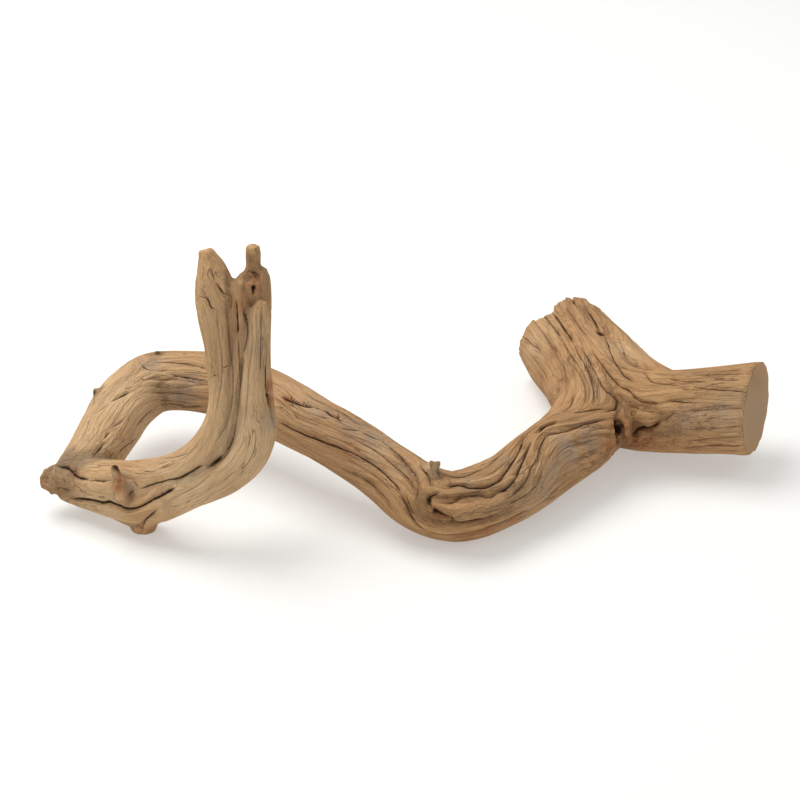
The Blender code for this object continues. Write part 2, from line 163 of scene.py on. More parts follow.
UPPER_STRAND = [
    (-146, 20, 20.0, 8.0, 8.0, 0.5),
    (-134, 14, 22.0, 9.0, 9.0, 0.5),
    (-115, 5, 27.0, 9.5, 9.5, 0.5),
    (-97, -3, 37.5, 8.0, 8.0, 0.5),
    (-85, -6, 49.0, 7.5, 7.5, 0.5),
    (-78, -6, 60.0, 7.5, 7.5, 0.5),
    (-75, -4, 73.5, 7.0, 7.0, 0.5),
    (-75.5, 0, 95.5, 7.5, 7.0, 0.5),
    (-77.5, 4, 115.0, 8.5, 7.0, 0.5),
    (-78, 6, 128.0, 7.5, 5.5, 0.4),
    (-81, 8, 139.0, 3.0, 3.0, 0.3),
]
LOWER_STRAND = [
    (-152, 20, 13.2, 5.4, 5.2, 0.5),
    (-144, 17, 13.0, 6.6, 6.4, 0.5),
    (-126, 8, 14.0, 8.0, 8.0, 0.5),
    (-110, -1, 18.5, 9.0, 9.0, 0.5),
    (-91, -6, 31.0, 9.3, 9.3, 0.4),
    (-75, -9, 41.0, 9.8, 9.6, 0.4),
    (-65, -11, 52.0, 10.0, 9.3, 0.4),
    (-61, -10, 63.0, 9.0, 8.5, 0.4),
    (-61, -8, 76.5, 7.5, 7.0, 0.4),
    (-61, -6, 89.0, 6.5, 6.5, 0.4),
    (-60.3, -3, 104.5, 5.5, 4.5, 0.4),
    (-58.5, -1, 114.0, 4.5, 3.2, 0.3),
    (-57, 0, 119.0, 2.0, 2.2, 0.3),
]
BACK_STRAND = [
    (-90, -1, 36.0, 6.0, 6.0, 0.6),
    (-74, 0, 44.0, 8.0, 8.0, 0.6),
    (-67, 5, 58.0, 9.0, 9.0, 0.6),
    (-64.5, 7, 81.0, 9.0, 8.5, 0.7),
    (-63, 8, 100.0, 8.5, 8.0, 0.7),
    (-62, 9, 114.0, 8.0, 7.0, 0.7),
    (-61.5, 10, 125.0, 7.5, 6.0, 0.7),
]
PEG = [
    (-62, 10, 118.0, 3.6, 3.4, 0.3),
    (-61.6, 11, 127.0, 3.6, 3.4, 0.3),
    (-61.4, 11.2, 131.0, 3.2, 3.1, 0.3),
    (-61.3, 11.5, 135.0, 3.4, 3.2, 0.3),
    (-61.3, 11.5, 138.8, 3.2, 2.9, 0.3),
]
KNOT_FOOT = [
    (-112, 5, 16.0, 8.5, 8.0, 0.4),
    (-114, 7, 8.0, 7.0, 6.5, 0.4),
    (-115.8, 7.5, -1.0, 5.4, 5.0, 0.4),
]
THORN = [
    (-121, 3, 20.0, 5.5, 5.5, 0.3),
    (-122.3, -2.5, 27.0, 4.2, 3.8, 0.3),
    (-124.0, -1.6, 33.5, 2.7, 2.5, 0.3),
    (-124.8, -1, 38.8, 1.9, 1.7, 0.2),
]
TWIG_LEFT = [
    (15.6, 1.5, 27.0, 2.6, 2.4, 0.3),
    (14.8, 1.4, 33.5, 1.7, 1.5, 0.2),
    (13.3, 2.0, 39.6, 1.25, 1.15, 0.1),
]
TWIG_RIGHT = [
    (16.4, 1.3, 28.0, 2.4, 2.2, 0.3),
    (16.5, 1.4, 33.5, 1.5, 1.4, 0.2),
    (16.9, 2.0, 39.4, 1.25, 1.15, 0.1),
]
SPUR = [
    (13.5, -11.5, 23.5, 4.4, 3.9, 0.5),
    (24, -13.2, 23.0, 5.7, 4.2, 0.7),
    (40, -6, 22.5, 6.0, 4.0, 0.8),
    (56, 9, 24.0, 4.0, 3.0, 0.8),
]
CROTCH_SPLINTER = [
    (102.5, 61, 33.0, 3.5, 3.5, 0.4),
    (103.6, 54.5, 31.5, 3.4, 3.3, 0.4),
    (104.5, 49.5, 28.5, 3.0, 3.0, 0.3),
    (105, 46.8, 24.8, 2.1, 2.1, 0.3),
    (105.4, 45.6, 20.4, 1.1, 1.1, 0.2),
]
CROTCH_LUMP = [
    (110, 56, 32.0, 4.8, 4.8, 0.4),
    (117.5, 52.4, 29.6, 4.6, 4.6, 0.4),
    (123.5, 51, 27.6, 3.2, 3.2, 0.3),
]
NUB_LEFT = [
    (-138.5, 61, 38.0, 3.0, 3.0, 0.2),
    (-141.8, 62, 41.3, 1.4, 1.4, 0.2),
]
NUB_TOP = [
    (-115, 84, 44.0, 3.2, 3.0, 0.2),
    (-113.5, 85.5, 48.2, 2.0, 1.6, 0.2),
]
LUMP = [
    (-66, 9, 118.0, 3.6, 3.4, 0.3),
    (-65, 8, 127.5, 2.6, 2.4, 0.3),
]
SLIVER = [
    (-71, 2, 98.0, 2.6, 2.4, 0.4),
    (-71.5, 3, 112.0, 2.2, 2.0, 0.4),
    (-71.5, 4, 122.5, 1.4, 1.2, 0.3),
]
FOOT_WEB = [
    (-138, 13, 13.4, 5.0, 5.0, 0.4),
    (-128, 9, 10.4, 5.5, 5.0, 0.4),
    (-118, 7, 6.2, 5.0, 4.5, 0.4),
    (-113, 6, 7.0, 4.5, 4.5, 0.4),
]
FOOT_FRONT = [
    (-104, -6.0, 22.0, 6.0, 6.0, 0.4),
    (-110.5, -2.6, 14.5, 6.0, 5.2, 0.4),
    (-114.2, 2.4, 8.0, 5.4, 5.0, 0.4),
    (-115.2, 6.8, 3.0, 4.9, 4.8, 0.4),
]
ELBOW_NUB = [
    (-147, 24, 19.0, 7.0, 7.0, 0.5),
    (-154.5, 24, 18.2, 5.6, 5.2, 0.5),
    (-158.6, 23.2, 17.9, 4.5, 4.3, 0.5),
    (-161.2, 22.8, 16.4, 2.6, 2.6, 0.4),
]
BACK_RIGHT = [
    (-58.0, 9, 113.0, 3.2, 5.0, 0.5),
    (-57.6, 9.5, 122.0, 2.9, 4.4, 0.5),
    (-57.4, 9.5, 129.0, 2.5, 3.6, 0.4),
]
MIDDLE_STRAND = [
    (-90, -9, 37.0, 4.0, 4.5, 0.4),
    (-77, -10, 50.0, 4.5, 4.5, 0.4),
    (-71, -9, 62.0, 4.5, 5.0, 0.4),
    (-68, -5, 79.0, 4.5, 5.5, 0.4),
    (-67, -0.5, 99.0, 4.5, 5.5, 0.4),
    (-67.5, 2, 115.0, 4.5, 5.0, 0.4),
    (-68, 4, 126.5, 3.0, 3.6, 0.3),
]
print("stem and trunk:", len(STEM), "stations")

# %% The limbs and their ends
UP = (0.0, 0.0, 1.0)
FRONT = (0.0, -1.0, 0.0)
# How far an end leans to its side and up, and how jagged it is, in millimetres.
SQUARE = (0.0, 0.0, 0.0)
# Each limb's name and stations, the way that its upper face looks, its start and its far end.
LIMBS = [
    ("stem", STEM, UP, SQUARE, (1.0, 0.0, 1.0)),
    ("stub", STUB, UP, SQUARE, (-4.5, -1.0, 0.0)),
    ("crook", CROOK, UP, SQUARE, SQUARE),
    ("upper strand", UPPER_STRAND, FRONT, SQUARE, (0.0, 0.0, 1.5)),
    ("lower strand", LOWER_STRAND, FRONT, SQUARE, (0.0, 0.0, 0.5)),
    ("back strand", BACK_STRAND, FRONT, SQUARE, (0.0, 0.0, 2.5)),
    ("peg", PEG, FRONT, SQUARE, SQUARE),
    ("knot foot", KNOT_FOOT, FRONT, SQUARE, SQUARE),
    ("thorn", THORN, FRONT, SQUARE, SQUARE),
    ("left twig", TWIG_LEFT, FRONT, SQUARE, SQUARE),
    ("right twig", TWIG_RIGHT, FRONT, SQUARE, SQUARE),
    ("spur", SPUR, UP, SQUARE, SQUARE),
    ("crotch splinter", CROTCH_SPLINTER, FRONT, SQUARE, SQUARE),
    ("crotch lump", CROTCH_LUMP, UP, SQUARE, SQUARE),
    ("left nub", NUB_LEFT, FRONT, SQUARE, SQUARE),
    ("top nub", NUB_TOP, FRONT, SQUARE, SQUARE),
    ("lump", LUMP, FRONT, SQUARE, SQUARE),
    ("sliver", SLIVER, FRONT, SQUARE, (0.0, 0.0, 1.0)),
    ("foot web", FOOT_WEB, UP, SQUARE, SQUARE),
    ("foot front", FOOT_FRONT, FRONT, SQUARE, SQUARE),
    ("elbow nub", ELBOW_NUB, FRONT, SQUARE, SQUARE),
    ("back right", BACK_RIGHT, FRONT, SQUARE, (0.0, 0.0, 1.5)),
    ("middle strand", MIDDLE_STRAND, FRONT, SQUARE, SQUARE),
]
print(len(LIMBS), "limbs,", sum(len(limb[1]) for limb in LIMBS), "stations")

# %% [markdown]
# ## From stations to skin
# A smooth curve runs through the stations, and at each row along it a ring of points stands square to the
# heart line. Joined rings make a closed skin. Curve objects with a bevel would do this too, but they have
# one radius a point, while weathered wood is wider than it is high in places, and its ends lean or are torn.

# %% Curve and rings
ROW_STEP = 2.0
RING = 36
END_LENGTH = 10.0
JAGS = 3.0
JAG_SEED = 5.0


def smooth_line(stations, step):
    """Rows along a smooth curve through the stations, about one step apart."""
    knots = np.array(stations, float)
    gaps = np.linalg.norm(np.diff(knots[:, :3], axis=0), axis=1)
    reach = np.concatenate([[0.0], np.cumsum(gaps)])
    slopes = np.gradient(knots, reach, axis=0)
    along = np.linspace(0.0, reach[-1], max(2, round(reach[-1] / step) + 1))
    span = np.clip(np.searchsorted(reach, along, side="right") - 1, 0, len(gaps) - 1)
    t = ((along - reach[span]) / gaps[span])[:, None]
    width = gaps[span][:, None]
    rows = (
        (2 * t**3 - 3 * t**2 + 1) * knots[span]
        + (t**3 - 2 * t**2 + t) * width * slopes[span]
        + (3 * t**2 - 2 * t**3) * knots[span + 1]
        + (t**3 - t**2) * width * slopes[span + 1]
    )
    return along, rows


def unit(vectors):
    return vectors / np.linalg.norm(vectors, axis=-1, keepdims=True)


def frame_along(rows, facing):
    """Heart points, and the forward, side and up directions at each."""
    heart = rows[:, :3]
    forward = unit(np.gradient(heart, axis=0))
    up = unit(np.array(facing) - (forward @ np.array(facing))[:, None] * forward)
    return heart, forward, np.cross(forward, up), up


def end_push(turn, distance, end):
    """How far an end reaches out at each turn of the section, fading away from the end."""
    lean_side, lean_up, jag = end
    jags = [noise.noise((JAGS * np.cos(a), JAGS * np.sin(a), JAG_SEED)) for a in turn]
    push = lean_side * np.cos(turn) + lean_up * np.sin(turn) + jag * np.array(jags)
    return np.clip(1 - distance / END_LENGTH, 0.0, 1.0)[:, None] * push[None, :]


def limb_skin(stations, facing, start_end, far_end):
    """Points and faces of a closed skin round a limb."""
    along, rows = smooth_line(stations, ROW_STEP)
    heart, forward, side, up = frame_along(rows, facing)
    turn = np.linspace(0.0, 2 * np.pi, RING, endpoint=False)
    push = end_push(turn, along[-1] - along, far_end) - end_push(turn, along, start_end)
    rings = (
        heart[:, None]
        + np.cos(turn)[None, :, None] * rows[:, None, 3:4] * side[:, None]
        + np.sin(turn)[None, :, None] * rows[:, None, 4:5] * up[:, None]
        + push[:, :, None] * forward[:, None]
    )
    corner = np.arange(RING)
    quads = np.stack([corner, (corner + 1) % RING, (corner + 1) % RING + RING, corner + RING], 1)
    faces = [tuple(row * RING + quad) for row in range(len(rows) - 1) for quad in quads]
    faces.append(tuple(reversed(range(RING))))
    faces.append(tuple(range(RING * (len(rows) - 1), RING * len(rows))))
    return rings.reshape(-1, 3), faces


skins = []
start = 0
all_faces = []
for _, stations, facing, start_end, far_end in LIMBS:
    skin_points, skin_faces = limb_skin(stations, facing, start_end, far_end)
    skins.append(skin_points)
    all_faces += [tuple(start + k for k in face) for face in skin_faces]
    start += len(skin_points)
wood_mesh = bpy.data.meshes.new("wood")
wood_mesh.from_pydata(np.concatenate(skins).tolist(), [], all_faces)
wood_mesh.update()
wood = bpy.data.objects.new("driftwood_grain", wood_mesh)
bpy.context.scene.collection.objects.link(wood)
print("skins:", len(wood_mesh.vertices), "points")

# %% [markdown]
# ## One piece of wood
# On a real tree the limbs run into each other with rounded crotches. A boolean union would leave creases,
# so the skins are fused by a voxel remesh, and a few rounds of smoothing fill the crotches like callus wood.
# Splinters and broken ends would shrink away in that, so nothing may sink by more than a third of a
# millimetre. The voxel is under a millimetre, because the furrows that come next are only two to three wide.

# %% Fuse the limbs
VOXEL = 0.75


def modified(obj, steps):
    """The object's mesh after a list of modifiers, each a type and its settings."""
    for kind, settings in steps:
        modifier = obj.modifiers.new(kind.lower(), kind)
        for name, value in settings.items():
            setattr(modifier, name, value)
    graph = bpy.context.evaluated_depsgraph_get()
    mesh = bpy.data.meshes.new_from_object(obj.evaluated_get(graph))
    obj.modifiers.clear()
    obj.data = mesh
    return mesh


def mesh_points(mesh):
    points = np.empty(3 * len(mesh.vertices), np.float32)
    mesh.vertices.foreach_get("co", points)
    return points.reshape(-1, 3).astype(float)


def mesh_normals(mesh):
    normals = np.empty(3 * len(mesh.vertices), np.float32)
    mesh.vertex_normals.foreach_get("vector", normals)
    return normals.reshape(-1, 3).astype(float)


# Seven passes fill the crotches at a voxel of 1.2 mm, and a finer voxel takes more.
FILLET_PASSES = round(7 * (1.2 / VOXEL) ** 1.5)
MOST_SHRUNK = 0.35
wood_mesh = modified(wood, [("REMESH", {"mode": "VOXEL", "voxel_size": VOXEL})])
fused_points = mesh_points(wood_mesh)
fused_normals = mesh_normals(wood_mesh)
wood_mesh = modified(wood, [("SMOOTH", {"iterations": FILLET_PASSES, "factor": 0.5})])
shift = mesh_points(wood_mesh) - fused_points
sunk = np.clip(-(shift * fused_normals).sum(1) - MOST_SHRUNK, 0.0, None)
filleted = fused_points + shift + sunk[:, None] * fused_normals
wood_mesh.vertices.foreach_set("co", filleted.astype(np.float32).ravel())
wood_mesh.update()
print("fused:", len(wood_mesh.vertices), "points")

# %% [markdown]
# ## Where the grain runs
# Furrows, fibres and checks in wood all follow the grain, and the grain follows the limb. So each point gets
# grain coordinates in millimetres: across, up and along its limb, blended where limbs meet. Texture
# coordinates from a flat unwrap would leave seams, and the straight axes of the scene would cut through
# every bend.

# %% Grain of each limb
BLEND = 7.0
AT_A_TIME = 8000


def limb_grain(points, stations, facing):
    """Where points lie in a limb: across, up and along it, how far out, furrow depth, and its forward."""
    along, rows = smooth_line(stations, ROW_STEP)
    heart, forward, side, up = frame_along(rows, facing)
    nearest = np.empty(len(points), int)
    for first in range(0, len(points), AT_A_TIME):
        some = slice(first, first + AT_A_TIME)
        nearest[some] = ((heart**2).sum(1)[None] - 2 * points[some] @ heart.T).argmin(1)
    offset = points - heart[nearest]
    ahead = (offset * forward[nearest]).sum(1)
    across = (offset * side[nearest]).sum(1)
    above = (offset * up[nearest]).sum(1)
    past = np.clip(np.abs(ahead) - ROW_STEP, 0.0, None)
    out = np.sqrt(across**2 + above**2 + past**2) / rows[nearest, 3:5].mean(1)
    return np.c_[across, above, along[nearest] + ahead], out, rows[nearest, 5], forward[nearest]


def blended_grain(points):
    """Grain coordinates, grain direction and furrow depth, blended from all the limbs."""
    grains = [limb_grain(points, stations, facing) for _, stations, facing, _, _ in LIMBS]
    outs = np.array([grain[1] for grain in grains])
    weights = np.exp(-BLEND * (outs - outs.min(0)))
    weights /= weights.sum(0)
    ways = np.array([grain[3] for grain in grains])
    main_way = ways[outs.argmin(0), np.arange(len(points))]
    same = np.sign((ways * main_way).sum(2) + 1e-9)
    place = sum(weight[:, None] * grain[0] for weight, grain in zip(weights, grains))
    way = (weights[:, :, None] * same[:, :, None] * ways).sum(0)
    amount = sum(weight * grain[2] for weight, grain in zip(weights, grains))
    return place, unit(way), amount


def grain_noise(points):
    return np.array([noise.noise(p) for p in points.tolist()])


wood_points = mesh_points(wood_mesh)
wood_normals = mesh_normals(wood_mesh)
print("main stem", round(smooth_line(STEM, ROW_STEP)[0][-1]), "mm long along its heart")

# %% [markdown]
# ## Grooves, checks and pits
# Checks are the drying cracks that the eye reads as dark lines, and on old driftwood each has worn into a
# valley with rounded shoulders. They were picked in the picture, so they are given where the camera sees them
# and are dropped on to the wood along its line of sight. The solid part has the largest of them as grooves.
# The gaps between the strands run round out of sight and are given as points on the wood instead.
# Knot holes and broken patches are dropped on to the wood in the same way.

# %% Grooves, in millimetres
# Half width and depth, and points of the line on the face of the wood.
GROOVES = [
    (1.4, 2.0, [(-83, -13, 45), (-76, -15, 52), (-70, -11, 66), (-69, -10, 75), (-66, -7, 97)]),
    (1.6, 2.0, [(-55, -9, 90), (-55, -11, 83), (-54, -12, 74), (-53, -12, 64)]),
]
print(len(GROOVES), "grooves")

# %% Checks, pits and rough patches, where the camera sees them
# Half width and depth in millimetres, how dark, and points of the line in the 800 by 800 picture.
CHECKS = [
    # belly
    (0.9, 2.0, 1.0, [
        (447, 484), (450, 485), (455, 483.5), (460, 483), (465, 484), (470, 486), (480, 487), (487, 486.5),
        (493, 484), (500, 479.5), (505, 473), (510, 465), (514, 458), (518, 450), (520, 443), (523, 435),
    ]),
    (0.8, 1.3, 0.5, [
        (441, 502), (450, 501.5), (456, 499.5), (460, 497.5), (470, 495.5), (480, 495), (490, 496.5),
        (500, 491.5),
    ]),
    (0.9, 1.8, 0.9, [
        (498, 492), (506, 489.5), (512, 484), (516, 479), (519, 473), (521, 467), (524, 459), (527, 450),
        (530, 442),
    ]),
    (0.8, 1.4, 0.6, [
        (503, 501), (512, 496), (518, 491.5), (523, 487), (528, 480), (531, 472), (532, 467), (535, 463),
        (538, 459), (540, 450), (541, 442),
    ]),
    (0.7, 0.9, 0.35, [
        (487, 512), (498, 510), (506, 508.5), (513, 504), (519, 500), (526, 497), (533, 491), (538, 486),
        (541, 478), (543, 470),
    ]),
    (1.6, 3.6, 1.0, [(429, 507), (433, 510.5), (436, 512.5), (442, 517), (450, 520.5), (456, 522.5)]),
    (0.8, 1.4, 0.6, [(455, 522.5), (462, 522.5), (468, 522), (475, 521.5), (482, 520.5), (487, 521)]),
    (0.9, 1.6, 0.9, [(440, 491), (436, 494), (432, 495.5), (429, 498.5), (428.5, 504), (430, 509)]),
    (0.7, 0.9, 0.5, [
        (440, 471), (447, 473.5), (455, 474.5), (465, 473.5), (475, 470), (485, 465), (492, 460),
        (500, 453), (505, 447), (508, 441),
    ]),
    (0.8, 1.2, 0.6, [
        (420, 530), (430, 534.5), (440, 537), (450, 538), (460, 537), (468, 536), (475, 534), (483, 532),
        (490, 529.5), (500, 525.5), (510, 521.5), (520, 516.5), (530, 510),
    ]),
    (0.8, 1.4, 0.7, [(421, 463), (426, 471), (430, 478), (431.5, 486)]),
    (0.8, 1.4, 0.8, [(439, 470), (439.5, 473), (440, 476)]),
    (0.6, 0.6, 0.25, [(480, 476), (490, 473), (500, 466), (507, 458), (512, 448)]),
    (0.6, 0.6, 0.25, [(460, 513), (475, 512), (490, 513), (497, 512), (505, 509)]),
    (0.6, 0.6, 0.3, [(575, 460), (583, 456), (592, 452), (600, 447)]),
    (0.6, 0.8, 0.5, [(577, 463), (585, 458), (590, 457), (598, 452)]),
    (0.6, 0.8, 0.3, [(556, 460), (561, 452), (568, 447), (577, 444), (590, 441), (600, 438)]),
    # fork
    (0.7, 1.0, 0.7, [(572, 411), (580, 410.5), (590, 409.5), (600, 408), (607, 408)]),
    (0.8, 1.4, 0.8, [
        (597, 374), (601, 381), (606, 388), (610, 391), (614, 394), (617, 397), (619, 400), (618.5, 404),
        (617, 408), (611, 410), (603, 412),
    ]),
    (0.8, 1.3, 0.7, [
        (605, 419), (600, 420), (592, 422), (585, 423), (580, 425), (573, 427), (567, 429.5), (560, 431),
        (550, 432.5), (546, 434), (544, 438), (541, 445), (539, 455), (537, 463),
    ]),
    (0.6, 0.7, 0.4, [(595, 430), (600, 428), (605, 427.5), (610, 428)]),
    (1.3, 2.4, 0.9, [
        (631, 441), (634, 435), (637, 431.5), (643, 429.5), (650, 430), (654, 428.5), (659, 423.5),
        (662, 420),
    ]),
    (0.7, 1.0, 0.7, [(661, 421), (666, 419), (671, 416), (674, 413.5), (677, 412)]),
    (0.8, 1.3, 0.7, [
        (592, 350), (598, 357), (604, 365), (609, 372), (613, 377), (617, 382), (621, 386), (627, 388.5),
        (631, 392), (635, 397), (640, 400.5), (650, 402.5), (660, 404),
    ]),
    (0.6, 0.8, 0.5, [
        (635, 345), (638, 352), (641, 360), (644, 370), (648, 377), (653, 382), (660, 383), (670, 384),
        (680, 385.5),
    ]),
    (0.8, 1.4, 0.8, [(573, 394), (572, 398), (570, 403), (566, 407), (560, 410)]),
    (0.6, 0.8, 0.3, [(566, 358), (574, 367), (580, 375), (584, 384), (586, 392), (585, 400), (582, 405)]),
    (0.7, 1.0, 0.5, [(583, 361), (588, 372), (592, 383), (594.5, 393), (594, 400), (591, 405)]),
    (0.6, 0.8, 0.3, [(590, 362), (596, 374), (598.5, 384), (598, 395), (600, 402)]),
    (1.2, 2.2, 0.9, [(535, 431), (538, 429.5), (541, 425), (546, 422), (552, 420.5), (557, 420)]),
    (0.6, 0.6, 0.3, [(628, 405), (640, 409), (650, 411), (660, 412)]),
    # trunk
    (1.35, 0.9, 1.0, [(585, 306), (588, 309), (592, 314), (595, 319), (598, 325), (601, 331)]),
    (0.8, 1.6, 0.9, [
        (605, 335), (609, 342), (612, 350), (615, 358), (620, 366), (624, 373), (629, 377), (634, 381),
    ]),
    (1.1, 2.4, 1.0, [(574, 298), (576, 302), (578, 305)]),
    (0.9, 1.8, 0.9, [
        (551, 311), (556, 316), (560, 321), (563, 326), (567, 331), (569, 334), (571, 338), (574, 343),
    ]),
    (0.8, 1.2, 0.45, [(574, 343), (578, 353), (583, 361), (588, 369), (592, 377), (596, 386)]),
    (0.9, 1.4, 0.5, [(540, 312), (545, 317), (549, 321), (555, 329), (561, 337)]),
    (0.7, 1.0, 0.5, [(560, 336), (565, 345), (568, 350), (573, 358), (579, 366)]),
    (0.8, 0.9, 0.15, [(532, 320), (540, 330), (547, 341), (553, 350), (558, 358), (563, 366), (566, 375)]),
    (0.9, 1.5, 0.6, [(519, 334), (526, 340), (531, 345), (536, 348), (540, 353)]),
    (0.7, 1.0, 0.4, [(552, 346), (556, 351)]),
    (0.7, 0.9, 0.4, [(541, 370), (545, 377), (548, 385)]),
    (0.7, 0.8, 0.3, [(530, 355), (535, 362), (540, 370)]),
    (0.8, 1.2, 0.7, [(579, 345), (582, 349), (585, 353), (589, 359), (592, 366), (597, 374)]),
    (0.6, 0.7, 0.25, [(618, 335), (622, 345), (626, 355), (630, 365)]),
    (0.8, 1.0, 0.3, [(566, 306), (575, 318), (582, 327), (588, 335)]),
    # sawn stub
    (0.7, 1.0, 0.8, [
        (693, 387), (700, 387.3), (710, 388.5), (720, 389.5), (730, 390), (740, 391), (749, 391.5),
    ]),
    (0.6, 0.8, 0.6, [(681, 388.5), (687, 389), (692, 389.5)]),
    (0.6, 0.9, 0.6, [(668, 378.5), (680, 380), (690, 380.5), (700, 380.5), (711, 381)]),
    (0.6, 0.7, 0.45, [(655, 373), (664, 374), (673, 374.5)]),
    (0.6, 0.7, 0.4, [(698, 374), (715, 373), (735, 373), (747, 373)]),
    (0.6, 0.7, 0.4, [(712, 380), (722, 379), (735, 379), (743, 378.5)]),
    (0.7, 0.9, 0.8, [(667, 400), (674, 401), (681, 401.5), (690, 402.5), (697, 402.5)]),
    (0.6, 0.7, 0.45, [(700, 408), (710, 406.5), (720, 406), (730, 405.5), (743, 404)]),
    (0.7, 0.9, 0.8, [
        (685, 449), (695, 448), (705, 447.5), (715, 446.5), (725, 446.5), (733, 447.5), (745, 446.5),
    ]),
    (0.6, 0.6, 0.35, [(718, 451), (730, 452), (742, 452)]),
    (0.6, 0.6, 0.3, [(725, 428), (735, 426.5), (744, 425)]),
    (0.6, 0.6, 0.3, [(688, 411.5), (700, 410.5), (720, 409.5), (744, 408.5)]),
    (0.6, 0.6, 0.25, [(680, 443), (700, 441), (720, 439), (744, 437)]),
    (0.6, 0.6, 0.25, [(686, 430), (702, 429.5), (720, 428)]),
    (0.6, 0.6, 0.3, [(714, 370.5), (725, 370), (745, 367.5)]),
    # arch
    (0.7, 1.0, 0.9, [(140, 361), (143, 365), (148, 368.5), (155, 370)]),
    (0.6, 0.8, 0.5, [(155, 370), (162, 370.5), (172, 370)]),
    (0.7, 0.9, 0.5, [(152, 361.5), (160, 361), (170, 361), (180, 362), (190, 363.5), (200, 366)]),
    (0.7, 1.0, 0.9, [(197, 365), (202, 366.5), (209, 368.5)]),
    (0.7, 1.0, 0.9, [(169, 374), (178, 376), (187, 377.5), (197, 379.5), (209, 381)]),
    (0.6, 0.7, 0.3, [(148, 379), (160, 379.5), (172, 379.5), (185, 381), (197, 383.5), (209, 385)]),
    (0.6, 0.6, 0.25, [(155, 386), (165, 388.5), (175, 388.5), (190, 388)]),
    (0.9, 1.6, 1.0, [(110, 401.5), (113, 399), (117, 396.5), (122, 394.5), (127, 392.5), (132, 391)]),
    (0.6, 0.8, 0.5, [(92, 413), (98, 410.5), (104, 407), (110, 401.5)]),
    (0.7, 1.0, 0.8, [(124, 388.3), (127, 387.5), (131, 387)]),
    (0.7, 1.0, 0.9, [(112, 427), (117, 424.5), (121, 421.5), (124, 418.5)]),
    (0.7, 1.2, 1.0, [(102, 440.5), (106, 436.5), (109, 433), (112, 431)]),
    (0.8, 1.4, 1.0, [(93, 457), (97, 452.5), (100, 449), (103, 445), (106, 442)]),
    (0.6, 0.8, 0.7, [(109, 461), (111, 457), (114, 454)]),
    (0.7, 0.9, 0.7, [(117, 455), (120, 453.5), (123, 450.5), (128, 446.5), (134, 442), (139, 437)]),
    (0.7, 0.9, 0.6, [(136, 430), (139, 425), (143, 420), (148, 414.5), (153, 410.5), (157, 408)]),
    (0.9, 1.2, 0.7, [(162, 405), (170, 406), (180, 407), (190, 408.5), (202, 407)]),
    (0.7, 0.8, 0.5, [(160, 400), (167, 401.5), (177, 403), (192, 404)]),
    (0.6, 0.7, 0.4, [(150, 393), (160, 393), (170, 393.5), (190, 396), (205, 399)]),
    (0.7, 1.0, 0.8, [(71, 450), (75, 445)]),
    (0.6, 0.7, 0.35, [(79, 440), (83, 433), (87, 425), (90, 417)]),
    # elbow and front branch
    (1.1, 2.4, 1.0, [
        (52, 463.5), (60, 465.5), (65, 466.5), (68, 468.5), (70, 472), (73, 475.5), (77, 478), (82, 479),
        (88, 480.5),
    ]),
    (0.8, 1.4, 0.7, [(88, 480.5), (90, 481.3), (93, 480.5), (100, 481.5), (110, 480.5)]),
    (0.8, 1.2, 0.8, [(70, 471), (73, 470.3), (76, 470)]),
    (0.7, 1.0, 0.7, [(55, 491.5), (61, 489), (66, 490.5), (71, 490.5)]),
    (1.1, 2.6, 1.0, [
        (70, 500), (80, 500.5), (88, 501), (95, 502.5), (101, 503.5), (106, 502.5), (111, 504),
        (116, 506.5), (121, 509), (127, 510), (133, 509), (139, 506.5), (145, 503), (151, 499),
        (157, 496.5), (163, 493), (168, 490.5), (175, 487.5),
    ]),
    (0.9, 1.6, 0.9, [
        (138, 489.5), (142, 489), (148, 487), (155, 484.5), (161, 483), (168, 481), (175, 480),
        (180, 478.5), (185, 476), (192, 472.5), (198, 468.5), (204, 465),
    ]),
    (0.7, 1.0, 0.7, [(132, 480), (134, 483), (136, 486), (138, 489.5)]),
    (0.7, 1.0, 0.7, [(134, 490), (131, 494), (128, 497.5)]),
    (0.6, 0.8, 0.6, [(140, 469.5), (144, 470.5), (147, 471.5), (152, 471.5)]),
    (0.8, 1.4, 0.9, [(157, 510), (150, 517), (146, 521), (143.5, 525), (142, 530)]),
    (0.6, 0.7, 0.4, [(160, 460), (170, 457.5), (180, 455.5), (190, 452)]),
    (0.6, 0.6, 0.3, [(155, 468), (163, 467.5), (172, 467)]),
    (0.6, 0.6, 0.25, [(170, 500), (182, 494), (195, 487), (207, 478)]),
    (1.0, 2.2, 1.0, [(207, 467.5), (210, 465.5), (213, 463), (217, 459.5), (222, 454)]),
    (0.7, 1.2, 0.6, [(222, 454), (226, 448.5), (230, 442), (233.5, 433), (235.5, 424)]),
    # strands
    (0.8, 1.2, 0.35, [(236, 420), (238, 400), (238.5, 375), (238, 355), (237, 336)]),
    (1.0, 2.4, 1.0, [(237, 337), (237, 325), (236.5, 312), (235.5, 300)]),
    (0.7, 1.0, 0.9, [
        (199, 296), (203, 297.5), (206, 298.5), (208, 301), (210, 306), (212, 308.5), (218, 310),
    ]),
    (0.8, 1.4, 0.9, [(216, 283), (219, 287), (222, 291), (225, 294), (229, 295.5)]),
    (0.6, 0.7, 0.4, [(211, 270), (213, 276), (216, 283)]),
    (0.8, 1.4, 0.7, [(244, 306), (245, 315), (246, 325), (246, 335), (244, 345), (242, 354)]),
    (0.8, 1.6, 0.9, [(247, 270), (250, 272), (255, 274), (257, 277)]),
    (1.1, 2.2, 1.0, [(253, 284), (253, 290), (253, 296)]),
    (0.8, 1.0, 0.35, [(261.5, 310), (261.5, 330), (261.5, 350), (260.5, 372)]),
    (1.2, 2.2, 1.0, [(267, 364), (268, 375), (268, 385), (269, 393), (271, 400), (272.5, 408)]),
    (0.6, 0.8, 0.8, [(224, 369), (226, 366.8), (229, 366)]),
